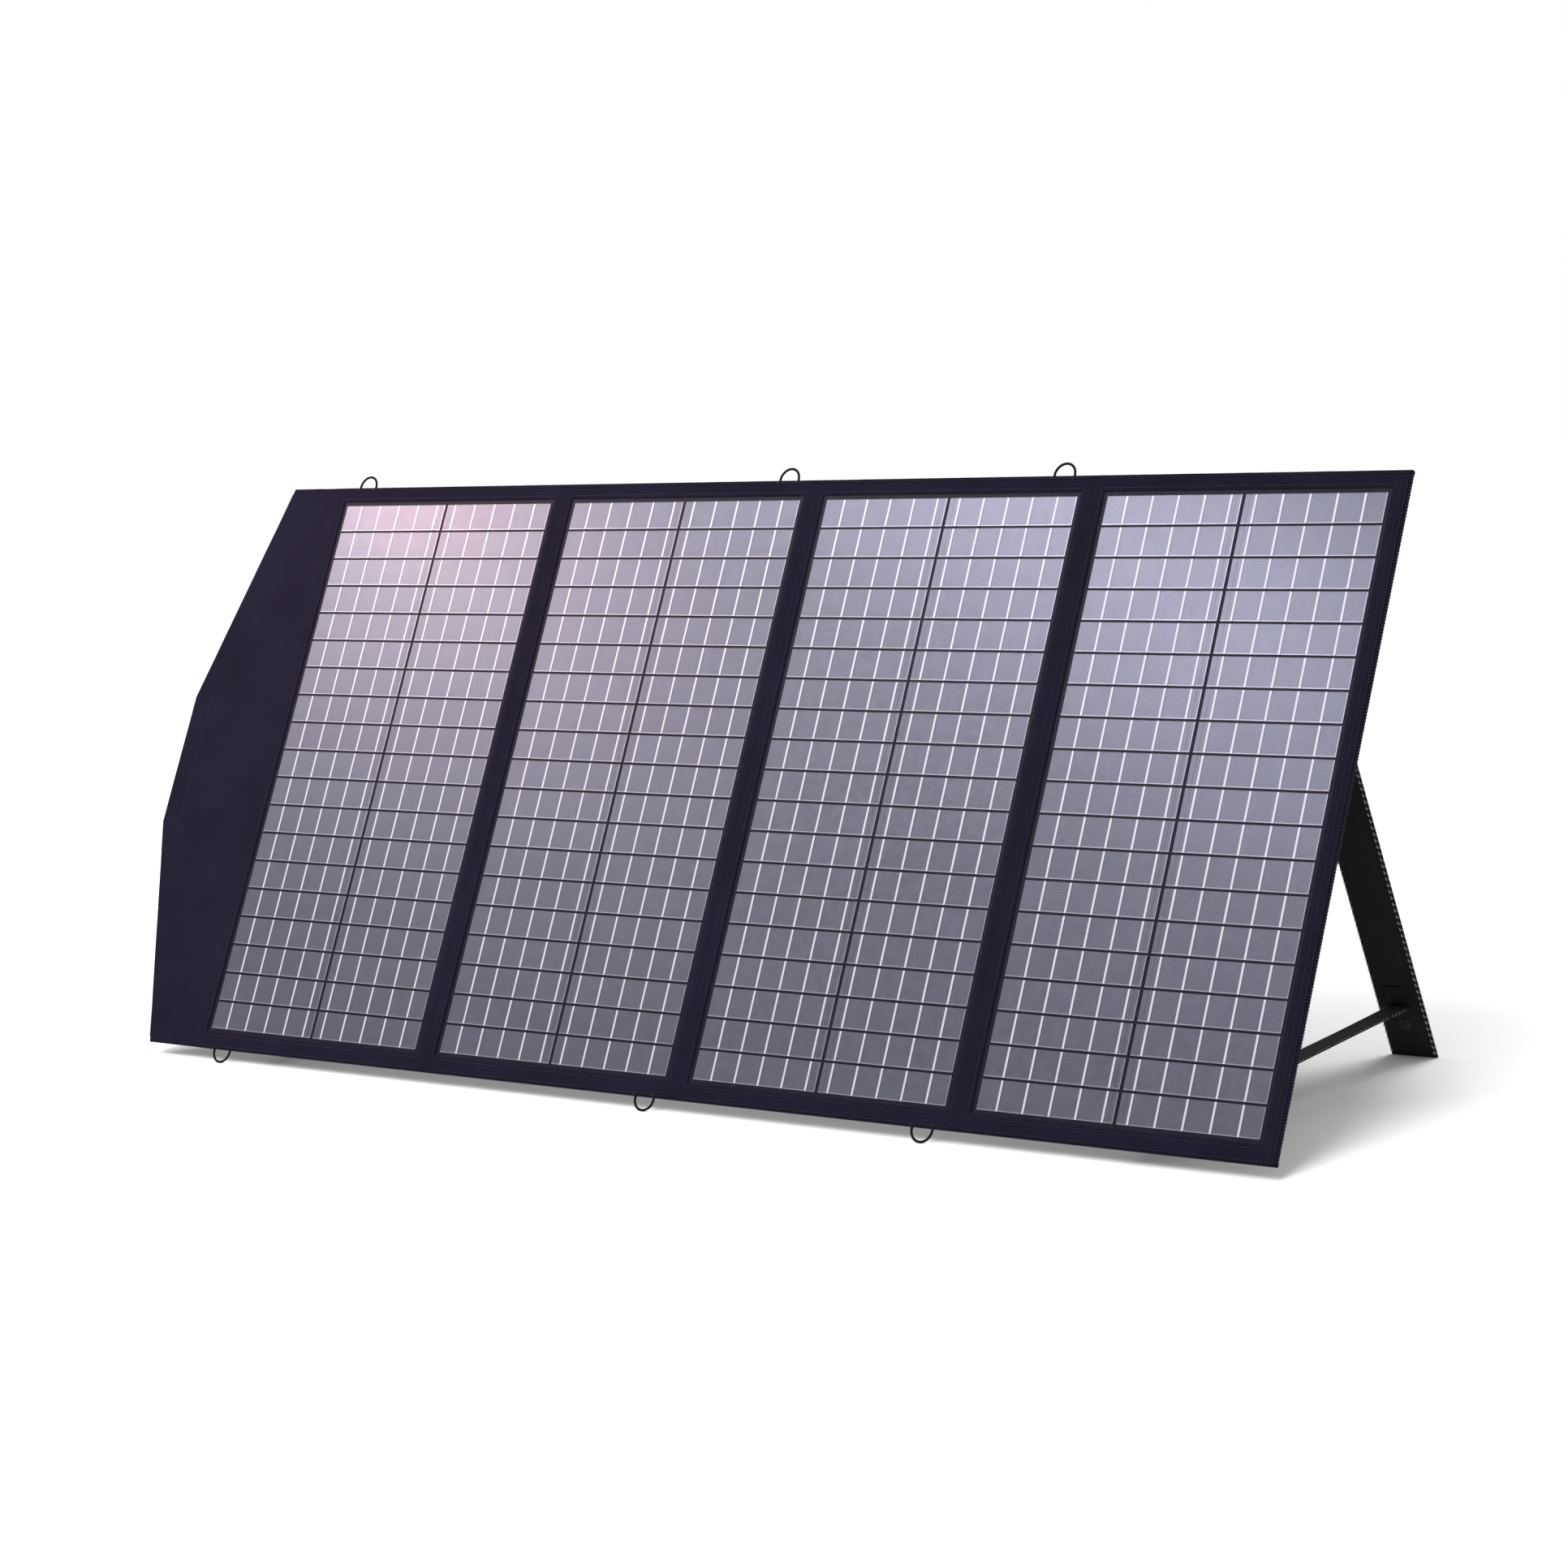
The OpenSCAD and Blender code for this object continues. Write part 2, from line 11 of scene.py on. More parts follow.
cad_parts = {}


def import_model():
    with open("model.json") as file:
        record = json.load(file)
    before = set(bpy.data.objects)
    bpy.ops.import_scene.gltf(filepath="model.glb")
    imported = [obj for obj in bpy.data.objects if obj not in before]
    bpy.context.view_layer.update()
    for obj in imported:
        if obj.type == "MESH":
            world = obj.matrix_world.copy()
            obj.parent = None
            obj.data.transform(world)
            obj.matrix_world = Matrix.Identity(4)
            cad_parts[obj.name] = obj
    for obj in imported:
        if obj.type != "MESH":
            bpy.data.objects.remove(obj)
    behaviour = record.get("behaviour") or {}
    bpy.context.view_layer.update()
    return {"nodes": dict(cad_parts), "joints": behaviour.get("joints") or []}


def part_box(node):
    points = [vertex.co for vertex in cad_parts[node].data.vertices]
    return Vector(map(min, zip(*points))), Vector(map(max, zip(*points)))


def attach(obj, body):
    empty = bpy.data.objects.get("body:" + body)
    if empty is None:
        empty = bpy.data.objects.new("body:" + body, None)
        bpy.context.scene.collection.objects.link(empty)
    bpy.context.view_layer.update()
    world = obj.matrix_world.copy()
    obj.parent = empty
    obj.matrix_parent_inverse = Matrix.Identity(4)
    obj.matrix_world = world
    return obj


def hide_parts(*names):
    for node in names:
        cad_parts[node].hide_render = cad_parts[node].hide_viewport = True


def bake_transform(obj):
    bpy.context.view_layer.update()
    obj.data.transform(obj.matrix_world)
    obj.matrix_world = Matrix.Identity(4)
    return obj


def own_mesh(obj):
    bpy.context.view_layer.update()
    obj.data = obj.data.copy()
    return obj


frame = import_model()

MM = 0.001

# ---- the sheet's own frame
# u runs along the row of panels, v up the sheet from its lower edge, and w from the front
# face to the back, all in millimetres. The middle fold's axis gives the sheet's lean.

SHEET_H = 670
PANEL_T = 5.0
FOLD_CLEAR = 1.2
JOINTS = {joint["name"]: joint for joint in frame["joints"]}
ALONG = Vector((1, 0, 0))
UP = Vector(JOINTS["fold_23"]["axis"]).normalized()
OUT = Vector((0, UP.z, -UP.y))
ORIGIN = (Vector(JOINTS["fold_23"]["pos_m"]) - UP * (SHEET_H / 2 * MM)
          - OUT * ((PANEL_T + FOLD_CLEAR) * MM))


def at(u, v, w):
    """A point of the sheet's frame, in metres in the row frame."""
    return ORIGIN + ALONG * (u * MM) + UP * (v * MM) + OUT * (w * MM)


def place_on_sheet(point):
    """(u, v, w) of a point in the row frame."""
    d = (Vector(point) - ORIGIN) / MM
    return d.dot(ALONG), d.dot(UP), d.dot(OUT)


# ---- driving dimensions, mm

PITCH = 352
RIGHT_EDGE = PITCH + 356
WEB = 12
CELL_W, CELL_H = 156.75, 31.35
COLUMN_GAP, ROW_GAP = 3, 1.65
ROWS = 19
ROW_PITCH = CELL_H + ROW_GAP
ARRAY_W = 2 * CELL_W + COLUMN_GAP
ARRAY_H = ROWS * ROW_PITCH - ROW_GAP
LOWER_MARGIN = 23
WINDOW = 4.4
RIBBON_FIRST, RIBBON_PITCH, RIBBONS = 12.5, 30.1, 5
RIBBON_W = 2.4
SPINE_END = -700
SPINE_LO = place_on_sheet(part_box("spine_strip")[0])[0]
SPINE_HI = place_on_sheet(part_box("spine_strip")[1])[0]
FLAP_START = place_on_sheet(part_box("flap_cover")[1])[0]
FLAP_REACH, FLAP_SHOULDER = -853.5, -779
FLAP_LOW, FLAP_HIGH = 259, 411.5
FLAP_FRONT, FLAP_BACK = 0.3, 3.9
BINDING = 4.0
LEG_MID, LEG_W, LEG_T = 573.5, 53, 4.4
LEG_HINGE_V, LEG_AXIS_W = 583, 7.6
LEG_OPEN = radians(49)
LEG_INSET = 0.3
STRAP_W = 25
STRAP_V = 30                      # where the strap leaves the panel
STRAP_TOP = (248.2, 393.1)        # where it meets the open leg, as (v, w)
STRAP_UP, TAB_UP, STUD_UP = -510.2, (-511.5, -486.6), -532.6    # along a leg, from its hinge down
STRIKE_U, STRIKE_V, STRIKE_HALF = 609.8, (254, 416), 15
MAGNETS_V = (275, 335, 395)
LOOPS_U = (-661, -39.6, 312)
LOOP_W, LOOP_OUT, LOOP_R = 27, 15, 1.25


def panel_mid(i):
    return (i - 2.5) * PITCH


def fold_u(i):
    """The fold between panels i and i + 1."""
    return (i - 2) * PITCH


def panel_span(i):
    """Where a panel's stiff part begins and ends."""
    lo = SPINE_END if i == 1 else fold_u(i - 1) + WEB / 2
    hi = RIGHT_EDGE if i == 4 else fold_u(i) - WEB / 2
    return lo, hi


# ---- materials

class Shade:
    """A node material with short calls for the nodes that it is made of."""

    def __init__(self, name, rough=0.6, metal=0.0):
        self.material = bpy.data.materials.new(name)
        self.material.use_nodes = True
        self.nodes = self.material.node_tree.nodes
        self.links = self.material.node_tree.links
        self.bsdf = self.nodes["Principled BSDF"]
        self.bsdf.inputs["Roughness"].default_value = rough
        self.bsdf.inputs["Metallic"].default_value = metal
        self.place = self.node("ShaderNodeTexCoord").outputs["Object"]

    def node(self, kind, **settings):
        made = self.nodes.new(kind)
        for key, value in settings.items():
            setattr(made, key, value)
        return made

    def feed(self, socket, value):
        """Links or sets a socket. A tuple is a colour."""
        if isinstance(value, bpy.types.NodeSocket):
            self.links.new(value, socket)
        else:
            socket.default_value = (*value, 1.0) if isinstance(value, tuple) else value

    def math(self, operation, *values):
        made = self.node("ShaderNodeMath", operation=operation)
        for socket, value in zip(made.inputs, values):
            self.feed(socket, value)
        return made.outputs[0]

    def add(self, a, b):
        return self.math("ADD", a, b)

    def sub(self, a, b):
        return self.math("SUBTRACT", a, b)

    def mul(self, a, b):
        return self.math("MULTIPLY", a, b)

    def sine(self, value, period):
        return self.math("SINE", self.mul(value, 2 * pi / period))

    def along(self, direction):
        """Distance along a direction, in millimetres."""
        made = self.node("ShaderNodeVectorMath", operation="DOT_PRODUCT")
        self.feed(made.inputs[0], self.place)
        made.inputs[1].default_value = direction
        return self.mul(made.outputs["Value"], 1 / MM)

    def noise(self, size_mm, detail=3.0, rough=0.55):
        made = self.node("ShaderNodeTexNoise")
        self.feed(made.inputs["Vector"], self.place)
        made.inputs["Scale"].default_value = 1 / (size_mm * MM)
        made.inputs["Detail"].default_value = detail
        made.inputs["Roughness"].default_value = rough
        return made.outputs["Fac"]

    def ramp(self, value, low, high, out_low=0.0, out_high=1.0):
        made = self.node("ShaderNodeMapRange", interpolation_type="SMOOTHSTEP")
        for socket, v in zip(made.inputs, (value, low, high, out_low, out_high)):
            self.feed(socket, v)
        return made.outputs["Result"]

    def mix(self, share, a, b):
        made = self.node("ShaderNodeMix", data_type="RGBA")
        for index, value in ((0, share), (6, a), (7, b)):
            self.feed(made.inputs[index], value)
        return made.outputs[2]

    def tones(self, share, colour, low, high):
        """Between two strengths of one colour."""
        return self.mix(share, lighter(colour, low), lighter(colour, high))

    def colour(self, value):
        self.feed(self.bsdf.inputs["Base Color"], value)

    def rough(self, value):
        self.feed(self.bsdf.inputs["Roughness"], value)

    def bump(self, height, distance_mm):
        made = self.node("ShaderNodeBump")
        made.inputs["Strength"].default_value = 1.0
        made.inputs["Distance"].default_value = distance_mm * MM
        self.feed(made.inputs["Height"], height)
        self.feed(self.bsdf.inputs["Normal"], made.outputs["Normal"])

    def specular(self, level):
        self.feed(self.bsdf.inputs["Specular IOR Level"], level)

    def sheen(self, weight, rough, tint):
        for label, value in (("Weight", weight), ("Roughness", rough), ("Tint", tint)):
            self.feed(self.bsdf.inputs[f"Sheen {label}"], value)


def lighter(colour, factor):
    return tuple(min(1.0, c * factor) for c in colour)


def woven(name, colour, up=UP, pitch=0.9, depth=0.12, rough=0.78, sheen=0.025, tint=(0.75, 0.7, 0.85),
          shine=0.06):
    """Plain-woven polyester: threads over and under, a little slub, and slow variation."""
    s = Shade(name, rough)
    warp = s.sine(s.along(ALONG), pitch)
    weft = s.sine(s.along(up), pitch)
    threads = s.mul(warp, weft)
    slub = s.noise(1.4, 2.0)
    cloudy = s.noise(70, 4.0)
    tone = s.add(s.mul(slub, 0.35), s.mul(cloudy, 0.65))
    shade = s.tones(s.ramp(tone, 0.3, 0.7), colour, 0.78, 1.3)
    shade = s.mix(s.ramp(threads, -1.0, 1.0, 0.0, 0.35), shade, lighter(colour, 0.55))
    s.colour(shade)
    s.rough(s.ramp(tone, 0.2, 0.8, rough - 0.06, rough + 0.1))
    s.sheen(sheen, 0.45, tint)
    s.specular(shine)
    height = s.add(s.mul(threads, 0.5), s.mul(slub, 0.7))
    s.bump(height, depth)
    return s.material


def ribbed(name, colour, run, pitch=1.6, rough=0.7):
    """Webbing: ribs across its run and rows of thread along it."""
    s = Shade(name, rough)
    ribs = s.sine(s.along(run), pitch)
    rows = s.sine(s.along(ALONG), 1.1)
    fuzz = s.noise(0.8, 2.0)
    tone = s.add(s.mul(ribs, 0.25), fuzz)
    shade = s.tones(s.ramp(tone, 0.2, 0.9), colour, 0.6, 1.5)
    s.colour(shade)
    s.sheen(0.08, 0.4, (0.8, 0.78, 0.85))
    s.specular(0.12)
    height = s.add(s.mul(ribs, 0.6), s.mul(rows, 0.35))
    s.bump(s.add(height, fuzz), 0.18)
    return s.material


def thread(name, colour):
    """Twisted sewing thread."""
    s = Shade(name, 0.55)
    fuzz = s.noise(0.5, 2.0)
    s.colour(s.tones(fuzz, colour, 0.75, 1.2))
    s.sheen(0.05, 0.4, (0.9, 0.9, 0.95))
    s.specular(0.15)
    s.bump(fuzz, 0.06)
    return s.material


def moulded(name, colour, rough=0.5, grain=0.5):
    """Moulded plastic with a fine spark-eroded grain."""
    s = Shade(name, rough)
    fine = s.noise(grain, 2.0)
    slow = s.noise(25, 3.0)
    s.colour(s.tones(s.ramp(slow, 0.3, 0.7), colour, 0.85, 1.2))
    s.rough(s.ramp(slow, 0.25, 0.75, rough - 0.07, rough + 0.08))
    s.bump(fine, 0.03)
    return s.material


def metal(name, colour, rough=0.3, shine=1.0):
    s = Shade(name, rough, shine)
    worn = s.noise(6, 4.0)
    s.colour(s.mix(s.ramp(worn, 0.35, 0.7), lighter(colour, 0.8), colour))
    s.rough(s.ramp(worn, 0.2, 0.8, rough - 0.08, rough + 0.12))
    s.bump(s.noise(0.6, 2.0), 0.02)
    return s.material


def grid_lines(s):
    """How far a point lies from its cell's four sides, and noise that is one value per cell."""
    start = panel_mid(1) - PITCH / 2
    u = s.sub(s.along(ALONG), ORIGIN.x / MM + start)
    v = s.sub(s.along(UP), ORIGIN.dot(UP) / MM + LOWER_MARGIN)
    in_panel = s.math("MODULO", u, PITCH)
    in_array = s.sub(in_panel, (PITCH - ARRAY_W) / 2)
    second = s.math("GREATER_THAN", in_array, CELL_W + COLUMN_GAP / 2)
    across = s.sub(in_array, s.mul(second, CELL_W + COLUMN_GAP))
    row = s.math("FLOOR", s.math("DIVIDE", v, ROW_PITCH))
    height = s.sub(v, s.mul(row, ROW_PITCH))
    panel = s.math("FLOOR", s.math("DIVIDE", u, PITCH))
    column = s.add(s.mul(panel, 2), second)
    key = s.node("ShaderNodeCombineXYZ")
    s.feed(key.inputs[0], row)
    s.feed(key.inputs[1], column)
    chance = s.node("ShaderNodeTexWhiteNoise")
    s.feed(chance.inputs["Vector"], key.outputs[0])
    return across, height, second, chance.outputs["Value"]


def cell_material():
    """Blue-grey silicon with fine fingers, a painted highlight along each cell's lower and right edges, and a
    faint painted shadow line beside each ribbon.
    """
    s = Shade("silicon_cell", 0.3, 0.55)
    across, height, second, chance = grid_lines(s)
    side = s.math("MINIMUM", across, s.sub(CELL_W, across))
    edge = s.math("MINIMUM", side, s.math("MINIMUM", height, s.sub(CELL_H, height)))
    silicon = (0.080, 0.082, 0.116)
    shade = s.mix(chance, lighter(silicon, 0.94), lighter(silicon, 1.06))
    grain = s.noise(9, 5.0, 0.6)
    shade = s.mix(s.ramp(grain, 0.3, 0.7, 0.0, 0.35), shade, lighter(silicon, 1.3))
    fingers = s.sine(height, 1.6)
    shade = s.mix(s.ramp(fingers, 0.7, 1.0, 0.0, 0.16), shade, (0.40, 0.39, 0.45))
    # Painted highlight: a pale line along each cell's lower and right edges, as if those edges caught the
    # light.
    lit = s.math("MINIMUM", height, s.sub(CELL_W, across))
    edge_highlight = s.mul(s.ramp(lit, 0.5, 0.7), s.ramp(lit, 1.3, 1.8, 1.0, 0.0))
    shade = s.mix(s.mul(edge_highlight, 0.5), shade, (0.40, 0.385, 0.46))
    trim = s.ramp(edge, 0.42, 0.55, 1.0, 0.0)
    shade = s.mix(trim, shade, (0.006, 0.005, 0.011))
    mirror = s.sub(s.mul(second, 2), 1)
    left = s.sub(across, CELL_W - RIBBON_FIRST)
    right = s.sub(across, RIBBON_FIRST)
    signed = s.add(s.mul(second, s.sub(right, left)), left)
    # Painted shadow: a faint dark line just to one side of each ribbon.
    ribbon_shadow_distance = s.math("MODULO", s.add(signed, RIBBON_PITCH * 20.5 - 1.7), RIBBON_PITCH)
    ribbon_shadow_distance = s.math("ABSOLUTE", s.sub(ribbon_shadow_distance, RIBBON_PITCH / 2))
    shade = s.mix(s.ramp(ribbon_shadow_distance, 0.35, 0.75, 0.55, 0.0), shade, (0.03, 0.027, 0.045))
    to_gap = s.add(s.mul(mirror, signed), RIBBON_FIRST)
    scribe = s.math("ABSOLUTE", s.sub(to_gap, 6.2))
    s.colour(s.mix(s.ramp(scribe, 0.3, 0.6, 0.5, 0.0), shade, (0.03, 0.027, 0.045)))
    s.specular(s.sub(0.5, s.mul(trim, 0.48)))
    s.rough(s.ramp(grain, 0.2, 0.8, 0.28, 0.34))
    s.bump(s.add(grain, s.mul(fingers, 0.25)), 0.02)
    return s.material


def film_material():
    """Clear fluoropolymer film with a fine dimpled face."""
    s = Shade("clear_film", 0.3)
    s.colour((0.04, 0.04, 0.06))
    s.feed(s.bsdf.inputs["Alpha"], 0.04)
    dimples = s.mul(s.sine(s.along(ALONG), 1.3), s.sine(s.along(UP), 1.3))
    s.bump(s.add(dimples, s.noise(12, 3.0)), 0.03)
    return s.material


def dark_sheet_material():
    """Black backing sheet that shows between the cells."""
    s = Shade("backing_sheet", 0.45)
    s.colour(s.mix(s.noise(8, 3.0), (0.006, 0.005, 0.011), (0.011, 0.009, 0.019)))
    s.specular(0.02)
    s.bump(s.noise(1.5, 2.0), 0.02)
    return s.material


def ribbon_material():
    """Tinned copper under film: bright, with a soft broken sheen."""
    s = Shade("tinned_ribbon", 0.42, 0.15)
    streak = s.noise(2.5, 3.0)
    s.colour(s.mix(streak, (0.40, 0.395, 0.43), (0.56, 0.55, 0.59)))
    s.rough(s.ramp(streak, 0.2, 0.8, 0.3, 0.5))
    s.bump(s.noise(0.7, 2.0), 0.03)
    return s.material


NAVY = (0.0082, 0.0068, 0.0168)
NAVY_GLOW = (0.7, 0.55, 1.0)
BLACK_CLOTH = (0.020, 0.018, 0.022)
BLACK_WEB = (0.014, 0.0115, 0.012)
LEG_UP = (UP * cos(LEG_OPEN) - OUT * sin(LEG_OPEN)).normalized()
LEG_OUT = (OUT * cos(LEG_OPEN) + UP * sin(LEG_OPEN)).normalized()

FRONT_CLOTH = woven("navy_oxford", NAVY, sheen=0.02, tint=NAVY_GLOW, shine=0.03)
TAPE = woven("binding_tape", (0.0060, 0.0050, 0.0120), pitch=1.2, depth=0.1, tint=NAVY_GLOW, shine=0.03)
BACK_CLOTH = woven("black_oxford", BLACK_CLOTH)
LEG_CLOTH = woven("leg_oxford", (0.012, 0.0095, 0.010), up=LEG_UP, sheen=0.18)
DARK_THREAD = thread("dark_thread", (0.022, 0.019, 0.028))
PALE_THREAD = thread("pale_thread", (0.50, 0.48, 0.47))
CELL = cell_material()
FILM = film_material()
BACKING = dark_sheet_material()
RIBBON = ribbon_material()
CORD = woven("loop_cord", (0.006, 0.005, 0.006), pitch=1.1, depth=0.25, rough=0.6, sheen=0.0)
STRAP_RUN = (at(0, *STRAP_TOP) - at(0, STRAP_V, PANEL_T)).normalized()
TAB_WEB = ribbed("tab_webbing", BLACK_WEB, UP)
STRAP = ribbed("strap_webbing", BLACK_WEB, STRAP_RUN)
HANDLE_WEB = ribbed("handle_webbing", (0.014, 0.012, 0.015), UP)
FOAM = woven("grip_neoprene", (0.012, 0.011, 0.013), pitch=0.7, depth=0.06, rough=0.85)
BOARD = moulded("grey_board", (0.20, 0.19, 0.18), 0.7, 2.0)
BOX = moulded("black_plastic", (0.018, 0.018, 0.020), 0.45)
NYLON = moulded("nylon", (0.022, 0.022, 0.024), 0.38, 0.8)
ANCHOR = moulded("anchor_plastic", (0.020, 0.019, 0.022), 0.42)
STEEL = metal("zinc_steel", (0.55, 0.55, 0.57), 0.35)
ZIP_METAL = metal("zip_metal", (0.42, 0.42, 0.44), 0.28)
SNAP_METAL = metal("black_snap", (0.022, 0.020, 0.020), 0.36, 0.6)
COPPER = metal("tinned_copper", (0.70, 0.42, 0.28), 0.35)


# ---- mesh helpers

def piece(name, verts, faces, material, smooth=True):
    mesh = bpy.data.meshes.new(name)
    mesh.from_pydata([tuple(v) for v in verts], [], faces)
    mesh.update()
    mesh.materials.append(material)
    if smooth:
        mesh.polygons.foreach_set("use_smooth", [True] * len(mesh.polygons))
        mesh.set_sharp_from_angle(angle=radians(42))
    made = bpy.data.objects.new(name, mesh)
    bpy.context.scene.collection.objects.link(made)
    return made


def shell(name, front, back, material, hole=None):
    """A closed sheet between two grids of points. hole(i, j) says which squares are open."""
    rows, cols = len(front), len(front[0])
    points = [p for row in front for p in row] + [p for row in back for p in row]
    under = rows * cols
    tops = []
    for i in range(rows - 1):
        for j in range(cols - 1):
            if hole and hole(i, j):
                continue
            a = i * cols + j
            tops.append((a, a + 1, a + cols + 1, a + cols))
    faces = list(tops)
    faces += [tuple(under + k for k in reversed(face)) for face in tops]
    sides = {}
    for face in tops:
        for a, b in zip(face, face[1:] + face[:1]):
            if (b, a) in sides:
                del sides[(b, a)]
            else:
                sides[(a, b)] = True
    faces += [(b, a, under + a, under + b) for a, b in sides]
    used = sorted({k for face in faces for k in face})
    order = {k: n for n, k in enumerate(used)}
    return piece(name, [points[k] for k in used],
                 [tuple(order[k] for k in face) for face in faces], material)


def lines(lo, hi, step, extra=()):
    """Grid lines from lo to hi, about a step apart, with extra ones where detail needs them."""
    count = max(1, round(abs(hi - lo) / step))
    even = [lo + (hi - lo) * k / count for k in range(count + 1)]
    wanted = sorted(x for x in extra if lo < x < hi)
    kept = [x for x in even if all(abs(x - y) > 0.3 * step for y in wanted) or x in (lo, hi)]
    return sorted(set(kept + wanted))


def near(*centres, offsets=(-1.3, -0.6, 0, 0.6, 1.3)):
    """Extra lines round a seam."""
    return [c + d for c in centres for d in offsets]


def ripple(u, v, size, seed=0.0):
    """Smooth noise from -1 to 1 over the sheet."""
    return noise.noise(Vector((u / size, v / size, seed)))


def wave(along, seed, size=85.0, amount=0.8):
    """How far a sewn edge wanders from its line."""
    slow = noise.noise(Vector((along / size, seed, 0.0)))
    quick = noise.noise(Vector((along / (size / 4), seed, 7.0)))
    return amount * (slow + 0.3 * quick)


def cloth(name, us, vs, front, back, material, hole=None):
    """A closed sheet over lines of the sheet's frame. A depth is a number or a function of u and v."""
    depths = [side if callable(side) else lambda u, v, w=side: w for side in (front, back)]
    grids = [[[at(u, v, depth(u, v)) for u in us] for v in vs] for depth in depths]
    return shell(name, *grids, material, hole)


def opening(us, vs, span_u, span_v):
    """Says which squares of a grid are open: the ones inside a rectangle."""
    def hole(row, col):
        u, v = (us[col] + us[col + 1]) / 2, (vs[row] + vs[row + 1]) / 2
        return span_u[0] < u < span_u[1] and span_v[0] < v < span_v[1]

    return hole


def tube_faces(rings, count, base=0):
    """Faces of a closed bar whose rings of points begin at base: its sides, then its two ends."""
    faces = []
    last = base + (rings - 1) * count
    for start in range(base, last, count):
        for k in range(count):
            a, b = start + k, start + (k + 1) % count
            faces.append((a, b, b + count, a + count))
    return [*faces, tuple(reversed(range(base, base + count))), tuple(range(last, last + count))]


def sweep(name, sections, material):
    """A closed bar through a list of rings, each with the same number of points."""
    points = [p for ring in sections for p in ring]
    return piece(name, points, tube_faces(len(sections), len(sections[0])), material)


def ride(made, body, *nodes, slot=None):
    """Fixes a piece to a body and hides the CAD nodes that it stands for. Its slot is not used."""
    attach(made, body)
    if nodes:
        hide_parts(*nodes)
    return made


STITCH_RINGS = ((-1.0, 0.25), (-0.7, 0.85), (0.0, 1.0), (0.7, 0.85), (1.0, 0.25))
STITCH_SIDES = 5


def sew(name, body, runs, material=DARK_THREAD, length=2.4, pitch=3.4, thick=0.32, seed=1, skew=0.0):
    """Rows of single stitches. Each run is (start, end, normal): the thread lies along it."""
    rng = random.Random(seed)
    verts, faces = [], []
    for start, end, normal in runs:
        span = (end - start).length / MM
        heading = (end - start).normalized()
        side = normal.cross(heading).normalized()
        lie = (heading + side * skew).normalized()
        for k in range(max(1, int(span / pitch))):
            middle = start + heading * ((k + 0.5) * pitch * MM)
            middle += side * (rng.uniform(-0.12, 0.12) * MM)
            half = length / 2 * rng.uniform(0.92, 1.06)
            faces += tube_faces(len(STITCH_RINGS), STITCH_SIDES, len(verts))
            for along_share, fat in STITCH_RINGS:
                centre = middle + lie * (along_share * half * MM)
                lift = thick * (0.55 - 0.5 * along_share * along_share) * MM
                for n in range(STITCH_SIDES):
                    angle = 2 * pi * n / STITCH_SIDES
                    reach = thick * fat * MM
                    verts.append(centre + side * (cos(angle) * reach)
                                 + normal * (sin(angle) * reach * 0.7 + lift))
    return ride(piece(name, verts, faces, material), body)


def upright(u, low, high, w, normal=OUT):
    """A run of stitching up the sheet."""
    return at(u, low, w), at(u, high, w), normal


def level(low, high, v, w, normal=OUT):
    """A run of stitching along the sheet."""
    return at(low, v, w), at(high, v, w), normal


def around(span_u, span_v, w, normal=OUT, cross=False, place=at):
    """Runs of stitching round a rectangle, with a cross in it where a strap's end is held."""
    a, b, c, d = [(span_u[k], span_v[m]) for k, m in ((0, 0), (1, 0), (1, 1), (0, 1))]
    pairs = [(a, b), (b, c), (c, d), (d, a)] + ([(a, c), (b, d)] if cross else [])
    return [(place(*p, w), place(*q, w), normal) for p, q in pairs]


# ---- front fabric

FABRIC_T = 0.72
WINDOW_SEAM = 3.5
RIGHT_SEAMS = (RIGHT_EDGE - 9.4, RIGHT_EDGE - 4.6)
UNDER_TAPE = 1.0                  # a panel's fabric stops this far in from a bound edge


def window_gap(i, u, v):
    """Distance outside panel i's window, negative inside it."""
    du = abs(u - panel_mid(i)) - (ARRAY_W / 2 + WINDOW)
    dv = abs(v - (LOWER_MARGIN + ARRAY_H / 2)) - (ARRAY_H / 2 + WINDOW)
    if du > 0 and dv > 0:
        return hypot(du, dv)
    return max(du, dv)


def groove(distance, width=0.8, depth=0.3):
    return depth * exp(-(distance / width) ** 2)


def face_depth(u, v):
    """The front fabric's own unevenness."""
    return 0.16 * ripple(u, v, 26) + 0.12 * ripple(u, v, 75, 3.0) - 0.05


def front_depth(i, u, v):
    gap = window_gap(i, u, v)
    depth = face_depth(u, v)
    dash = 0.8 + 0.2 * cos((u + v) * 2 * pi / 3.4)
    depth += groove(gap - WINDOW_SEAM) * dash
    if gap < 1.0:
        depth += 0.3 * (1 - gap) ** 2
    if i == 4:
        depth += sum(groove(u - seam, 0.7, 0.25) * dash for seam in RIGHT_SEAMS)
    return min(depth, 0.5)


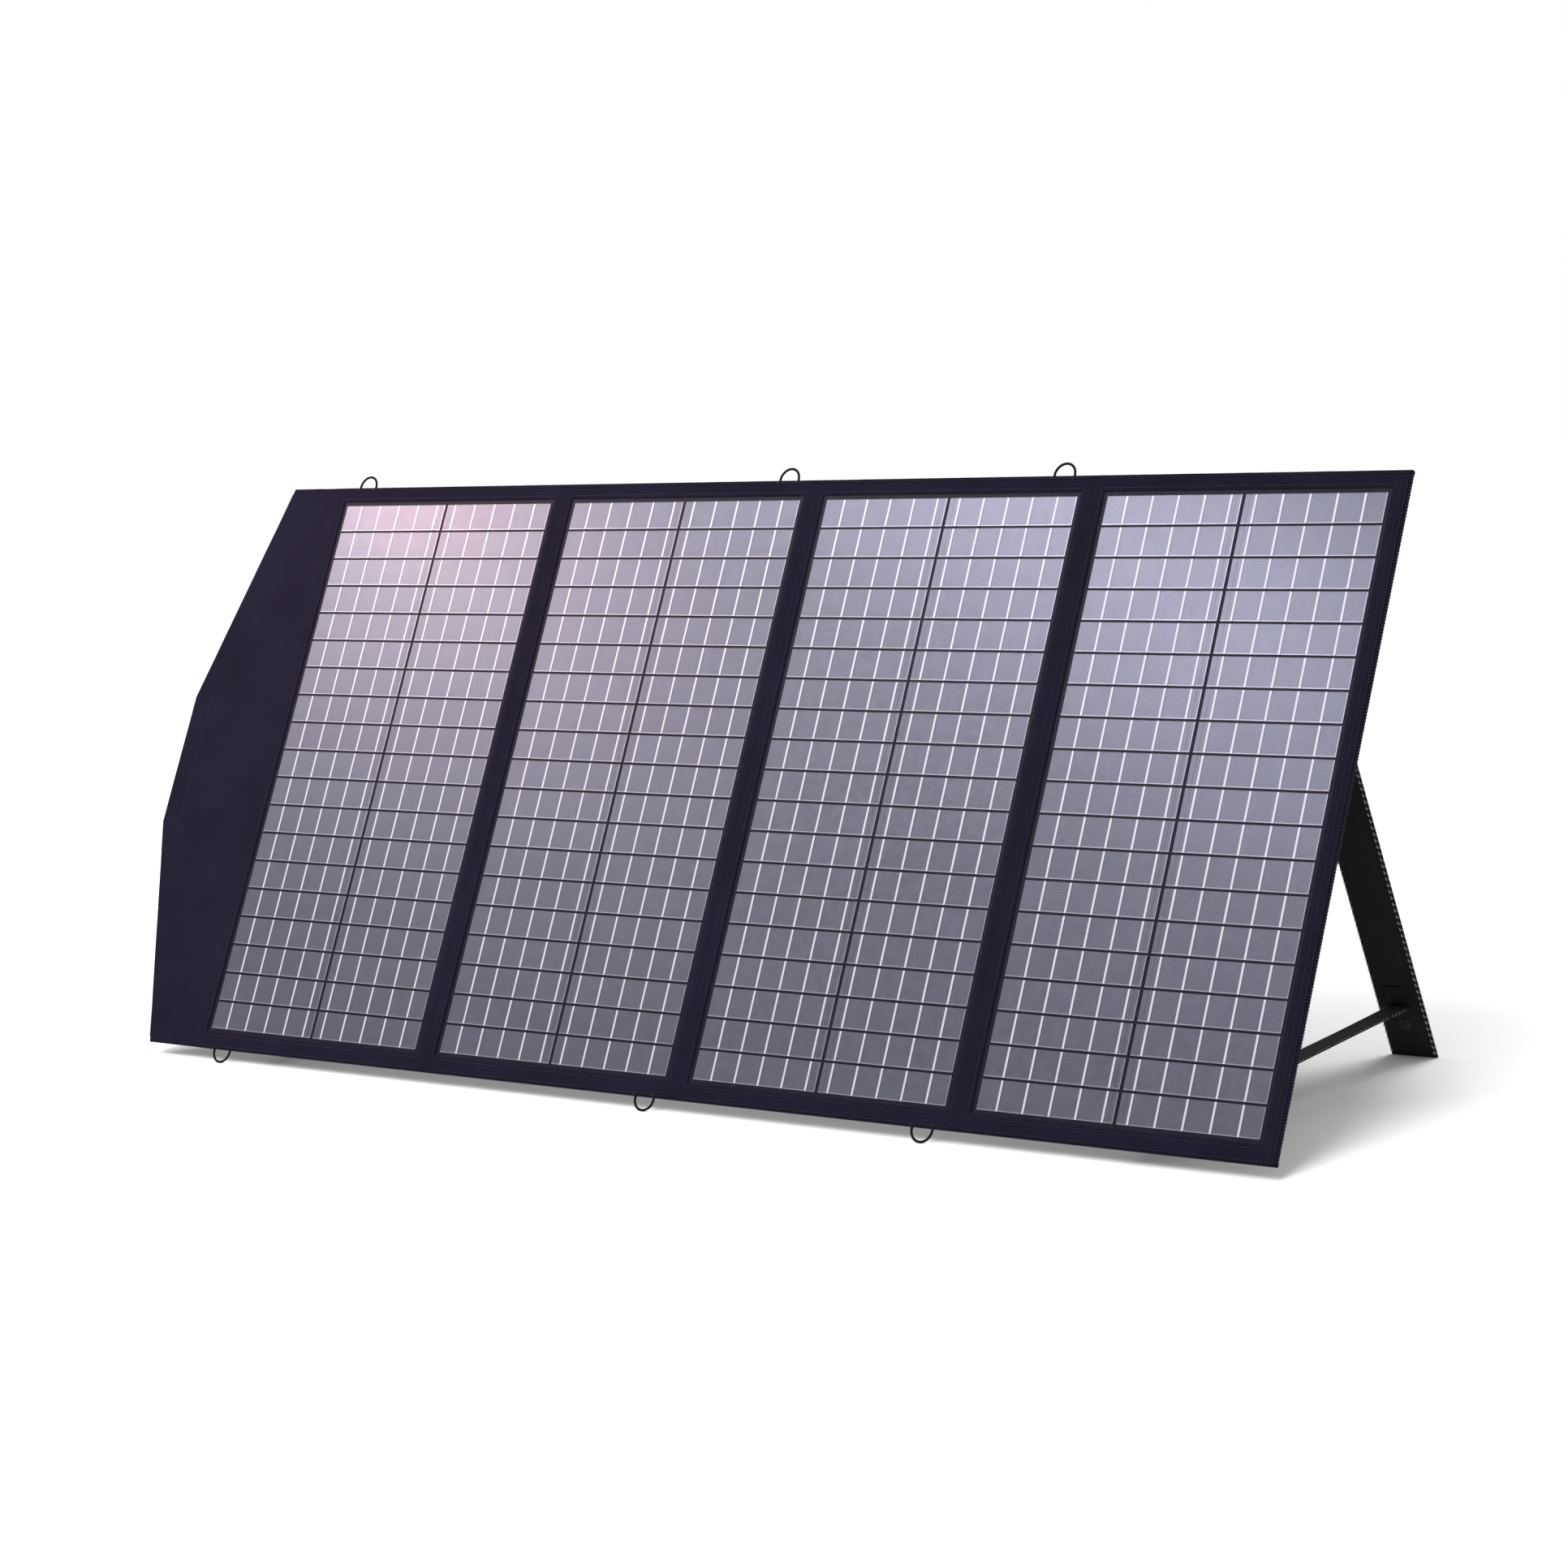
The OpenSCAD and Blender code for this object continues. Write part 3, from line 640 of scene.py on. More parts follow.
def front_fabric(i):
    """Fabric with a window, down to the binding round its free edges."""
    lo, hi = panel_span(i)
    half = ARRAY_W / 2 + WINDOW
    window_u = (panel_mid(i) - half, panel_mid(i) + half)
    window_v = (LOWER_MARGIN - WINDOW, LOWER_MARGIN + ARRAY_H + WINDOW)
    seam_u, seam_v = ((low - WINDOW_SEAM, high + WINDOW_SEAM) for low, high in (window_u, window_v))
    detail_u, detail_v = ([*near(*seam), low, low - 0.5, high, high + 0.5]
                          for seam, (low, high) in ((seam_u, window_u), (seam_v, window_v)))
    if i == 4:
        detail_u += near(*RIGHT_SEAMS)
    us = lines(lo, hi - (UNDER_TAPE if i == 4 else 0), 5, detail_u)
    vs = lines(UNDER_TAPE, SHEET_H - UNDER_TAPE, 5, detail_v)
    made = cloth(f"front_fabric_{i}", us, vs, lambda u, v: front_depth(i, u, v), FABRIC_T, FRONT_CLOTH,
                 opening(us, vs, window_u, window_v))
    ride(made, f"panel_{i}", f"panel_{i}_front_frame", slot="front_fabric")
    w = -0.02
    runs = around(seam_u, seam_v, w, -OUT)
    if i == 4:
        runs.append(upright(RIGHT_SEAMS[0], 2, SHEET_H - 2, w, -OUT))
    sew(f"window_stitches_{i}", f"panel_{i}", runs, seed=i)


# ---- laminate

def ribbons(i):
    """One strip of ribbon over each cell, dipping at both ends where it runs on under the next."""
    half = RIBBON_W / 2
    across = ((-half, 1.43), (-half * 0.7, 1.34), (half * 0.7, 1.34), (half, 1.43), (half, 1.45),
              (-half, 1.45))
    verts, faces = [], []
    for side in (-1, 1):
        for k in range(RIBBONS):
            u = panel_mid(i) + side * (COLUMN_GAP / 2 + RIBBON_FIRST + k * RIBBON_PITCH)
            for row in range(ROWS):
                low = LOWER_MARGIN + row * ROW_PITCH
                high = low + CELL_H
                stations = ((low + 0.4, 0.16), (low + 1.0, 0.0), (high - 1.0, 0.0), (high - 0.4, 0.16))
                faces += tube_faces(len(stations), len(across), len(verts))
                for v, sink in stations:
                    verts += [at(u + du, v, min(w + sink, 1.6)) for du, w in across]
    made = piece(f"ribbon_strips_{i}", verts, faces, RIBBON, smooth=False)
    ride(made, f"panel_{i}", f"panel_{i}_ribbons", slot="ribbon")


def use(material, *nodes):
    """Gives CAD nodes a better material."""
    for name in nodes:
        node = frame["nodes"][name]
        if not node.material_slots:
            node.data.materials.append(material)
        for place in node.material_slots:
            place.material = material


# ---- folds, spine and flap

EDGE_RINGS = (0.5, 1.2, 2.2, 3.2)


def edge_round(distance, reach=2.4, thick=1.3):
    """How far a rolled edge turns back, by distance from the edge."""
    share = 1 - min(max(distance, 0.0), reach) / reach
    return thick * (1 - sqrt(max(0.0, 1 - share * share)))


def soft_front(u):
    """Depth of the front face past panel 1's edge, where it eases back to the spine's."""
    share = min(1.0, max(0.0, (SPINE_END - u) / WEB))
    return FLAP_FRONT * 0.7 * share * share * (3 - 2 * share)


def cross_fold(made, bodies, lo, hi, *nodes, slot="front_fabric", v=SHEET_H / 2):
    """Hides the CAD nodes that a piece stands for and bakes its placement into its mesh. Its bodies, lo and
    hi are not used.
    """
    if nodes:
        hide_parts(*nodes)
    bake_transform(made)


def fold_plies(tag, lo, hi, back_w, bodies, node, crease):
    """The two plies of fabric across a fold, each creased in the middle."""
    us, vs = lines(lo, hi, 1.0), lines(1, SHEET_H - 1, 7)
    middle, half = (lo + hi) / 2, (hi - lo) / 2

    def dip(u):
        return crease * cos((u - middle) / half * pi / 2) ** 2

    made = cloth(f"fold_front_{tag}", us, vs, lambda u, v: soft_front(u) + face_depth(u, v) + dip(u),
                 lambda u, v: soft_front(u) + FABRIC_T + dip(u), FRONT_CLOTH)
    cross_fold(made, bodies, lo, hi, node)
    made = cloth(f"fold_back_{tag}", us, vs, lambda u, v: back_w - FABRIC_T - dip(u),
                 lambda u, v: back_w - face_depth(u, v) * 0.8 - dip(u), BACK_CLOTH)
    cross_fold(made, bodies, lo, hi)


def fold_leads(tag, lo, hi, bodies):
    """Flexible conductors through the fold, from one laminate to the next."""
    us = lines(lo, hi, 1.5)
    for end, middle in (("low", 40), ("high", SHEET_H - 40)):
        made = cloth(f"fold_lead_{tag}_{end}", us, [middle + d for d in (-7, -3.5, 0, 3.5, 7)],
                     lambda u, v: 2.25 + 0.08 * cos(u * 3),
                     lambda u, v: 2.65 + 0.08 * cos(u * 3), COPPER)
        cross_fold(made, bodies, lo, hi, f"fold_leads_{tag}", slot="copper", v=middle)


def flap_left(v):
    """The flap's outer edge: slanted, straight over the magnets, and slanted again."""
    if v < FLAP_LOW:
        share = v / FLAP_LOW
    elif v > FLAP_HIGH:
        share = (SHEET_H - v) / (SHEET_H - FLAP_HIGH)
    else:
        share = 1.0
    return FLAP_SHOULDER + (FLAP_REACH - FLAP_SHOULDER) * share


FLAP_SEAM = FLAP_REACH + 28


def flap_fabric():
    """The closing flap: two plies over a stiffener, with the magnets' pocket sewn off."""
    steps = [0.12, 0.3, 0.6, 1.1, 1.9, 3.0]
    vs = lines(0, SHEET_H, 5, [*steps, *[SHEET_H - s for s in steps], FLAP_LOW, FLAP_HIGH])
    edge_highlight = (0.0, 0.08, 0.3, 0.7, 1.3, 2.2, 3.4)
    front, back = [], []
    for v in vs:
        left = flap_left(v)
        inner = left + 5
        row = [left + d for d in edge_highlight] + [inner + (FLAP_START - inner) * k / 24 for k in range(25)]
        seamed = FLAP_LOW - 4 < v < FLAP_HIGH + 8
        line_front, line_back = [], []
        for u in row:
            wander = wave(v, 2.0, 110, 0.4) * max(0.0, 1 - (u - left) / 12)
            turn = edge_round(min(u - left, v, SHEET_H - v))
            if seamed:
                stitch = 0.75 + 0.25 * cos(v * 2 * pi / 3.4)
                turn += groove(u - FLAP_SEAM, 1.1, 0.4) * stitch
            fade = min(1.0, (FLAP_START - u) / 30)
            swell = 0.3 * ripple(u, v, 60, 5.0) * fade + face_depth(u, v)
            line_front.append(at(u + wander, v, soft_front(u) + swell + turn))
            line_back.append(at(u + wander, v, FLAP_BACK + 0.1 + swell * 0.6 - turn))
        front.append(line_front)
        back.append(line_back)
    ride(shell("flap_fabric", front, back, FRONT_CLOTH), "flap", "flap_cover", slot="front_fabric")
    runs = [upright(FLAP_SEAM, FLAP_LOW - 3, FLAP_HIGH + 7, w, normal)
            for w, normal in ((0.35, -OUT), (FLAP_BACK, OUT))]
    sew("flap_stitches", "flap", runs, seed=31)


def spine_fabric():
    """The narrow strip between the flap and the first panel, rolled in at its two ends."""
    vs = lines(0, SHEET_H, 6, [*EDGE_RINGS, *[SHEET_H - s for s in EDGE_RINGS]])

    def turn(v):
        return edge_round(min(v, SHEET_H - v))

    made = cloth("spine_fabric", lines(SPINE_LO, SPINE_HI, 2), vs,
                 lambda u, v: soft_front(u) + face_depth(u, v) + turn(v),
                 lambda u, v: FLAP_BACK + 0.1 - turn(v), FRONT_CLOTH)
    ride(made, "spine", "spine_strip", slot="front_fabric")


# ---- binding tape round free edges

TAPE_IN = 0.75


def tape_ring(lo, hi):
    """Outline of a folded tape as (inset from the edge, depth) points."""
    front = [(BINDING, 0.34), (BINDING - 0.4, 0.04), (BINDING - 1.6, 0), (1.3, 0.02), (0.5, 0.3), (0.1, 0.9)]
    outer = [(inset, lo + d) for inset, d in front] + [(0.0, (lo + hi) / 2)]
    outer += [(inset, hi - d) for inset, d in reversed(front)]
    return outer + [(1.5, hi - 0.5), (TAPE_IN, hi - 1.2), (TAPE_IN, lo + 1.2), (1.5, lo + 0.5)]


PANEL_RING = tape_ring(-0.36, PANEL_T + 0.36)
THIN_RING = tape_ring(-0.1, 4.3)


def tape(name, placed, start, end, seed, ring=PANEL_RING):
    """Tape folded round an edge. placed(along, inset, depth) gives a point."""
    sections = []
    for along in lines(start, end, 5):
        pull = 0.22 * wave(along, seed, 60, 1.0) + 0.1
        lift = 0.1 * wave(along, seed + 9, 30, 1.0)
        sections.append([placed(along, inset + (pull if inset > 2 else 0.3 * max(0.0, pull)),
                                depth + (lift if depth < 2 else -lift)) for inset, depth in ring])
    made = sweep(name, sections, TAPE)
    return made


def low_edge(along, inset, depth):
    return at(along, inset, depth)


def high_edge(along, inset, depth):
    return at(along, SHEET_H - inset, depth)


def right_edge(along, inset, depth):
    return at(RIGHT_EDGE - inset, along, depth)


EDGES = (("low", low_edge, 2.0), ("high", high_edge, 5.0))


def bind_edges():
    """Tape on each panel's two ends and across the folds, and down the last panel's side."""
    for i in (1, 2, 3, 4):
        lo, hi = panel_span(i)
        inset = BINDING - 1.1
        for label, placed, seed in EDGES:
            made = tape(f"binding_{i}_{label}", placed, lo, hi, seed)
            ride(made, f"panel_{i}", f"panel_{i}_binding")
            runs = [(placed(lo + 1, inset, w), placed(hi - 1, inset, w), normal)
                    for w, normal in ((-0.4, -OUT), (PANEL_T + 0.4, OUT))]
            sew(f"binding_stitches_{i}_{label}", f"panel_{i}", runs, seed=40 + i)
    side = tape("binding_4_side", right_edge, 0.5, SHEET_H - 0.5, 8.0)
    ride(side, "panel_4", "panel_4_binding")
    runs = [upright(RIGHT_EDGE - 2.6, 2, SHEET_H - 2, w, normal)
            for w, normal in ((-0.42, -OUT), (PANEL_T + 0.42, OUT))]
    sew("side_stitches", "panel_4", runs, seed=51)
    runs = [upright(RIGHT_EDGE - 0.1, 3, SHEET_H - 3, w, ALONG) for w in (0.6, 2.5, 4.4)]
    sew("side_overlock", "panel_4", runs, DARK_THREAD, 1.9, 3.1, 0.42, 52, 0.5)
    for i in (1, 2, 3):
        lo, hi = fold_u(i) - WEB / 2, fold_u(i) + WEB / 2
        for label, placed, seed in EDGES:
            made = tape(f"fold_binding_{i}{i + 1}_{label}", placed, lo, hi, seed)
            cross_fold(made, (f"panel_{i}", f"panel_{i + 1}"), lo, hi)
    for tag, lo, hi, bodies in (("spine", SPINE_HI, SPINE_END, ("spine", "panel_1")),
                                ("flap", FLAP_START, SPINE_LO, ("flap", "spine"))):
        for label, placed, _ in EDGES:
            cross_fold(tape(f"{tag}_binding_{label}", placed, lo, hi, 0.0, THIN_RING), bodies, lo, hi)


# ---- the back

BOX_U, BOX_V = -452, 548
POCKET = ((-527, -377), (130, 340))
BACK_SEAM = 9


def back_depth(i, u, v):
    lo, hi = panel_span(i)
    edge = min(u - lo, hi - u, v, SHEET_H - v)
    calm = min(1.0, edge / 20)
    quilt = 0.3 * ripple(u, v, 48, 11.0 + i) + 0.16 * ripple(u, v, 17, 2.0)
    pucker = 0.2 * exp(-((edge - BACK_SEAM - 3) / 3.5) ** 2) * cos((u + v) * 2 * pi / 13)
    depth = 5.0 + quilt * calm * 0.8 + pucker
    return max(4.7, depth - groove(edge - BACK_SEAM, 0.9, 0.35))


def back_fabric(i):
    """The padded back, sewn to the panel a little way in from its edges."""
    lo, hi = panel_span(i)
    us = lines(lo, hi - (UNDER_TAPE if i == 4 else 0), 6.5, near(lo + BACK_SEAM, hi - BACK_SEAM))
    vs = lines(UNDER_TAPE, SHEET_H - UNDER_TAPE, 6.5, near(BACK_SEAM, SHEET_H - BACK_SEAM))
    made = cloth(f"back_fabric_{i}", us, vs, 4.3, lambda u, v: back_depth(i, u, v), BACK_CLOTH)
    ride(made, f"panel_{i}", f"panel_{i}_back_cover", slot="back_fabric")
    runs = around((lo + BACK_SEAM, hi - BACK_SEAM), (BACK_SEAM, SHEET_H - BACK_SEAM), 5.02)
    sew(f"back_stitches_{i}", f"panel_{i}", runs, DARK_THREAD, 2.8, 3.9, 0.36, 60 + i)


def strike_patch():
    """The patch on the last panel's back over the steel discs that the flap's magnets hold."""
    u0, half, seam = STRIKE_U, STRIKE_HALF, 2.5
    low, high = STRIKE_V

    def out(u, v):
        edge = min(u - u0 + half, u0 + half - u, v - low, high - v)
        disc = min(hypot(u - u0, v - y) for y in MAGNETS_V)
        rise = 0.9 / (1 + exp((disc - 9.6) * 2.2))
        return 5.35 + rise * min(1, edge / 3) + 0.12 * ripple(u, v, 14) - edge_round(edge, 1.5, 0.3) \
            - groove(edge - seam, 0.6, 0.15)

    us, vs = lines(u0 - half, u0 + half, 1.6), lines(low, high, 2.4)
    made = cloth("strike_patch", us, vs, 4.9, out, BACK_CLOTH)
    ride(made, "panel_4", "strike_plates", slot="back_fabric")
    runs = around((u0 - half + seam, u0 + half - seam), (low + seam, high - seam), 5.42)
    sew("strike_patch_stitches", "panel_4", runs, seed=71)


# ---- legs and their straps

def leg_at(side, x, up, out):
    """A point of an open leg: x across it, up towards its hinge, out towards its outer face."""
    w = LEG_AXIS_W + out * cos(LEG_OPEN) - up * sin(LEG_OPEN)
    v = LEG_HINGE_V + out * sin(LEG_OPEN) + up * cos(LEG_OPEN)
    return at(side * LEG_MID + x, v, w)


def path_heading(path, n):
    """The way that a flat path runs at its point n."""
    before, after = path[max(n - 1, 0)], path[min(n + 1, len(path) - 1)]
    return Vector((after[0] - before[0], after[1] - before[1])).normalized()


def foot_level(out):
    """How far down the leg the floor is."""
    return -leg_at(1, 0, 0, out).z / MM / LEG_UP.z


LEG_FROM = -6


def leg_ring(half, low, high):
    """Outline of a leg's sleeve as (across, depth): flat faces with a pressed seam at each side."""
    mid = (low + high) / 2
    right = [(half - 2.6, low), (half - 1.5, low + 0.25), (half - 0.7, low + 0.9), (half, mid - 0.5),
             (half, mid + 0.5), (half - 0.7, high - 0.9), (half - 1.5, high - 0.25), (half - 2.6, high)]
    spread = [k / 8 for k in range(1, 8)]
    inner = half - 2.6
    top = [(inner - 2 * inner * s, high) for s in spread]
    left = [(-x, d) for x, d in reversed(right)]
    bottom = [(-inner + 2 * inner * s, low) for s in spread]
    return right + top + left + bottom


def leg(side, body, tag):
    """A leg's sleeve over its board, closed at the top and cut level at the foot."""
    half, low, high = LEG_W / 2, LEG_INSET + 0.1, LEG_INSET + LEG_T - 0.1
    ring = leg_ring(half, low, high)
    mid = (low + high) / 2
    foot = foot_level(mid)
    sections = [[leg_at(side, x, foot_level(out) + 0.2, out) for x, out in ring]]
    for up in lines(foot + 1.5, LEG_FROM, 6, (foot + 3, foot + 5, LEG_FROM - 1.2, LEG_FROM - 3)):
        closing = min(1.0, max(0.0, (LEG_FROM - up) / 3)) ** 0.5 * 0.75 + 0.25
        points = []
        for x, out in ring:
            bulge = 0.22 * ripple(x, up, 40, 3.0 + side) * (1 if out > mid else -1)
            bulge *= 1 - (abs(x) / half) ** 6
            wander = 0.35 * wave(up, 4.0 + side, 70, 1.0) * (1 if abs(x) > half - 2 else 0)
            points.append(leg_at(side, x + wander * 0.5, up, mid + (out - mid) * closing + bulge))
        sections.append(points)
    ride(sweep(f"leg_sleeve_{tag}", sections, LEG_CLOTH), body, f"leg_{tag}_sleeve", slot="leg_fabric")
    top = LEG_FROM - 3
    runs = [(leg_at(side, x, foot + 3, out), leg_at(side, x, top, out), normal)
            for x in (-half + 1.9, half - 1.9)
            for out, normal in ((low - 0.02, -LEG_OUT), (high + 0.02, LEG_OUT))]
    sew(f"leg_stitches_{tag}", body, runs, PALE_THREAD, 4.2, 7.4, 0.5, 80, 0.25)
    runs = [(leg_at(side, x, foot + 2, mid + d), leg_at(side, x, top, mid + d), ALONG * copysign(1, x))
            for x in (-half, half) for d in (-0.9, 0.9)]
    sew(f"leg_overlock_{tag}", body, runs, PALE_THREAD, 3.6, 7.4, 0.42, 81, 0.8)


def leg_hinge(side, panel, tag):
    """The sleeve's own fabric runs on from the leg's top to the back it is sewn to."""
    path = [(606, 5.75), (602, 5.7), (597, 5.7), (593, 5.75), (590, 5.95), (587.5, 6.5), (585.4, 7.5),
            (583.6, 8.9), (582, 10.6), (580.6, 12.4)]
    leg_in = (cos(LEG_OPEN), -sin(LEG_OPEN))
    for step in (2, 5):
        path.append((580.6 - step * leg_in[0], 12.4 - step * leg_in[1] * 1.02))
    us = lines(-LEG_W / 2 + 0.6, LEG_W / 2 - 0.6, 2.2)
    front, back = [], []
    for n, (v, w) in enumerate(path):
        run = path_heading(path, n)
        nv, nw = run.y, -run.x
        crumple = 0.12 if 3 < n < 9 else 0.04
        line_front, line_back = [], []
        for x in us:
            sway = crumple * sin(x * 0.9 + n) + crumple * ripple(x, n * 9, 9)
            line_front.append(at(side * LEG_MID + x, v - nv * (0.5 - sway), w - nw * (0.5 - sway)))
            line_back.append(at(side * LEG_MID + x, v + nv * (0.5 + sway), w + nw * (0.5 + sway)))
        front.append(line_front)
        back.append(line_back)
    made = shell(f"leg_hinge_{tag}", front, back, LEG_CLOTH)
    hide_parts(f"leg_{tag}_sleeve")
    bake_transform(made)
    runs = [level(side * LEG_MID - 24, side * LEG_MID + 24, v, 6.3) for v in (597, 603)]
    sew(f"leg_hinge_stitches_{tag}", panel, runs, PALE_THREAD, 2.8, 4.2, 0.34, 83)


STRAP_ACROSS = [k * (STRAP_W / 2) / 6 for k in range(-6, 7)]


def leg_strap(side, panel, tag):
    """Webbing that stops the leg, a little slack and cupped, with pale stitches on both edges."""
    low = at(side * LEG_MID, STRAP_V + 1.5, PANEL_T + 1.2)
    run = leg_at(side, 0, STRAP_UP, LEG_INSET - 0.9) - low
    length = run.length / MM
    heading = run.normalized()
    normal = heading.cross(ALONG).normalized()
    if normal.z < 0:
        normal = -normal
    half, thick = STRAP_W / 2, 0.62
    top, bottom = [], []
    for t in lines(0, length, 6):
        share = t / length
        sag = -2.2 * sin(pi * share)
        twist = 0.25 * sin(share * 9 + side)
        row_top, row_bottom = [], []
        for x in STRAP_ACROSS:
            cup = 0.5 * (x / half) ** 2 * sin(pi * share) + twist * x / half
            edge = thick * (0.55 if abs(x) == half else 1.0)
            place = low + heading * (t * MM) + ALONG * (x * MM) + normal * ((sag + cup) * MM)
            row_top.append(place + normal * (edge * MM))
            row_bottom.append(place - normal * (edge * MM))
        top.append(row_top)
        bottom.append(row_bottom)
    webbing = shell(f"leg_strap_{tag}", top, bottom, STRAP)
    ride(webbing, panel, f"leg_{tag}_strap", slot="webbing")
    runs = []
    pieces = 12
    for x in (-half + 1.2, half - 1.2):
        points = []
        for n in range(pieces + 1):
            share = n / pieces
            sag = -2.2 * sin(pi * share) + 0.5 * sin(pi * share) \
                + 0.25 * sin(share * 9 + side) * x / half
            points.append(low + run * share + ALONG * (x * MM) + normal * (sag * MM))
        for start, end in zip(points, points[1:]):
            for face in (1, -1):
                lift = normal * (face * 0.66 * MM)
                runs.append((start + lift, end + lift, normal * face))
    dashes = sew(f"leg_strap_stitches_{tag}", panel, runs, PALE_THREAD, 3.4, 6.2, 0.42, 85, 0.3)
    for made in (webbing, dashes):
        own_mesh(made)


def strap_tabs(side, panel, body, tag):
    """The strap's two ends, each folded and sewn flat with a boxed cross."""
    low, high = STRAP_V + 1, STRAP_V + 24

    def raised(u, v):
        return 6.3 - 0.4 * edge_round(min(v - low, high - v), 2.0) + 0.06 * ripple(u, v, 8)

    middle = side * LEG_MID
    made = cloth(f"strap_tab_{tag}", [middle + x for x in STRAP_ACROSS], lines(low, high, 2.5), 4.95, raised,
                 TAB_WEB)
    ride(made, panel, slot="webbing")
    runs = around((middle - 9, middle + 9), (STRAP_V + 4, STRAP_V + 21), 6.36, cross=True)
    sew(f"strap_tab_stitches_{tag}", panel, runs, PALE_THREAD, 2.2, 3.2, 0.3, 86)

    low, high = TAB_UP
    ups = lines(low, high, 2.5)
    inner = [[leg_at(side, x, up, LEG_INSET + 0.25) for x in STRAP_ACROSS] for up in ups]
    outer = [[leg_at(side, x, up, LEG_INSET - 1.35 + 0.4 * edge_round(min(up - low, high - up), 2.2))
              for x in STRAP_ACROSS] for up in ups]
    ride(shell(f"leg_tab_{tag}", inner, outer, TAB_WEB), body, slot="webbing")
    runs = around((-9, 9), (-509, -490), LEG_INSET - 1.38, -LEG_OUT, True, partial(leg_at, side))
    sew(f"leg_tab_stitches_{tag}", body, runs, DARK_THREAD, 2.2, 3.2, 0.3, 87)


def lathe(name, profile, place, axis, side, material, count=32, flute=None):
    """Turns a closed (radius, along) outline about an axis. flute(angle, n) scales a radius."""
    across = axis.cross(side).normalized()
    sections = []
    for k in range(count):
        angle = 2 * pi * k / count
        turned = side * cos(angle) + across * sin(angle)
        sections.append([place + turned * (r * (flute(angle, n) if flute else 1) * MM) + axis * (along * MM)
                         for n, (r, along) in enumerate(profile)])
    size = len(profile)
    faces = [(k * size + n, k * size + (n + 1) % size,
              (k + 1) % count * size + (n + 1) % size, (k + 1) % count * size + n)
             for k in range(count) for n in range(size)]
    return piece(name, [p for ring in sections for p in ring], faces, material)


def snap(side, body, tag):
    """Press stud: a rolled rim, a dish and a small post."""
    profile = [(0.02, 0.25), (1.4, 0.25), (1.9, 0.95), (2.3, 1.0), (2.8, 0.3), (4.4, 0.2), (5.2, 0.55),
               (5.8, 0.85), (6.5, 0.7), (6.9, 0.3), (7.0, -0.1), (0.02, -0.1)]
    made = lathe(f"leg_stud_{tag}", profile, leg_at(side, 0, STUD_UP, LEG_INSET), -LEG_OUT, ALONG, SNAP_METAL)
    ride(made, body, f"leg_{tag}_snap", slot="snap_metal")


# ---- hanging loops

def hanging_loop(i, label):
    """Braided cord, sewn in under the binding, in a slightly uneven half ring."""
    top = label == "high"
    half, stem = LOOP_W / 2 - LOOP_R, LOOP_OUT - LOOP_R - (LOOP_W / 2 - LOOP_R)
    path = [(-half, -3.4), (-half, -1.7), (-half, 0.0), (-half, stem * 0.6)]
    for k in range(33):
        angle = pi * (1 - k / 32)
        path.append((half * cos(angle), stem + half * sin(angle)))
    path += [(half, stem * 0.6), (half, 0.0), (half, -1.7), (half, -3.4)]
    sections = []
    sides = 12
    for n, (x, y) in enumerate(path):
        run = path_heading(path, n)
        ring = []
        for k in range(sides):
            angle = 2 * pi * k / sides
            plait = 1 + 0.09 * cos(2 * angle + n * 1.5) * cos(2 * angle - n * 1.5)
            radius = LOOP_R * 1.06 * plait
            du, dw = radius * cos(angle), radius * sin(angle)
            v = y - run.x * du
            ring.append(at(LOOPS_U[i - 1] + x + run.y * du, SHEET_H + v if top else -v, PANEL_T / 2 + dw))
        sections.append(ring)
    made = sweep(f"hanging_loop_{i}_{label}", sections, CORD)
    ride(made, f"panel_{i}", f"hanging_loops_{i}", slot="loop_cord")
    tack_v = SHEET_H - 2.4 if top else 2.4
    runs = [level(LOOPS_U[i - 1] + x - 2.2, LOOPS_U[i - 1] + x + 2.2, tack_v + dv, -0.42, -OUT)
            for x in (-half, half) for dv in (-1.1, 0, 1.1)]
    sew(f"loop_tacks_{i}_{label}", f"panel_{i}", runs, DARK_THREAD, 1.5, 1.6, 0.3, 90)


# ---- handle

HANDLE_U = (SPINE_LO + SPINE_HI) / 2
HANDLE_V, HANDLE_W = SHEET_H / 2, 8.3
HANDLE_SPAN, HANDLE_RISE = 100, 38


def arch_point(angle, offset):
    """(v, w) on the handle's line, offset outwards."""
    v, w = HANDLE_SPAN * cos(angle), HANDLE_RISE * sin(angle)
    normal = Vector((cos(angle) * HANDLE_RISE, sin(angle) * HANDLE_SPAN)).normalized()
    return HANDLE_V + v + normal.x * offset, HANDLE_W + w + normal.y * offset


def arch_bar(name, angles, half_width, half_thick, material):
    """A soft bar along the handle's arch, with rounded sides."""
    sections = []
    for angle in angles:
        width, thick = half_width(angle), half_thick(angle)
        ring = []
        for k in range(20):
            turn = 2 * pi * k / 20
            c, s = cos(turn), sin(turn)
            x = width * copysign(abs(c) ** 0.45, c)
            offset = thick * copysign(abs(s) ** 0.75, s)
            v, w = arch_point(angle, offset)
            ring.append(at(HANDLE_U + x, v, w))
        sections.append(ring)
    return sweep(name, sections, material)


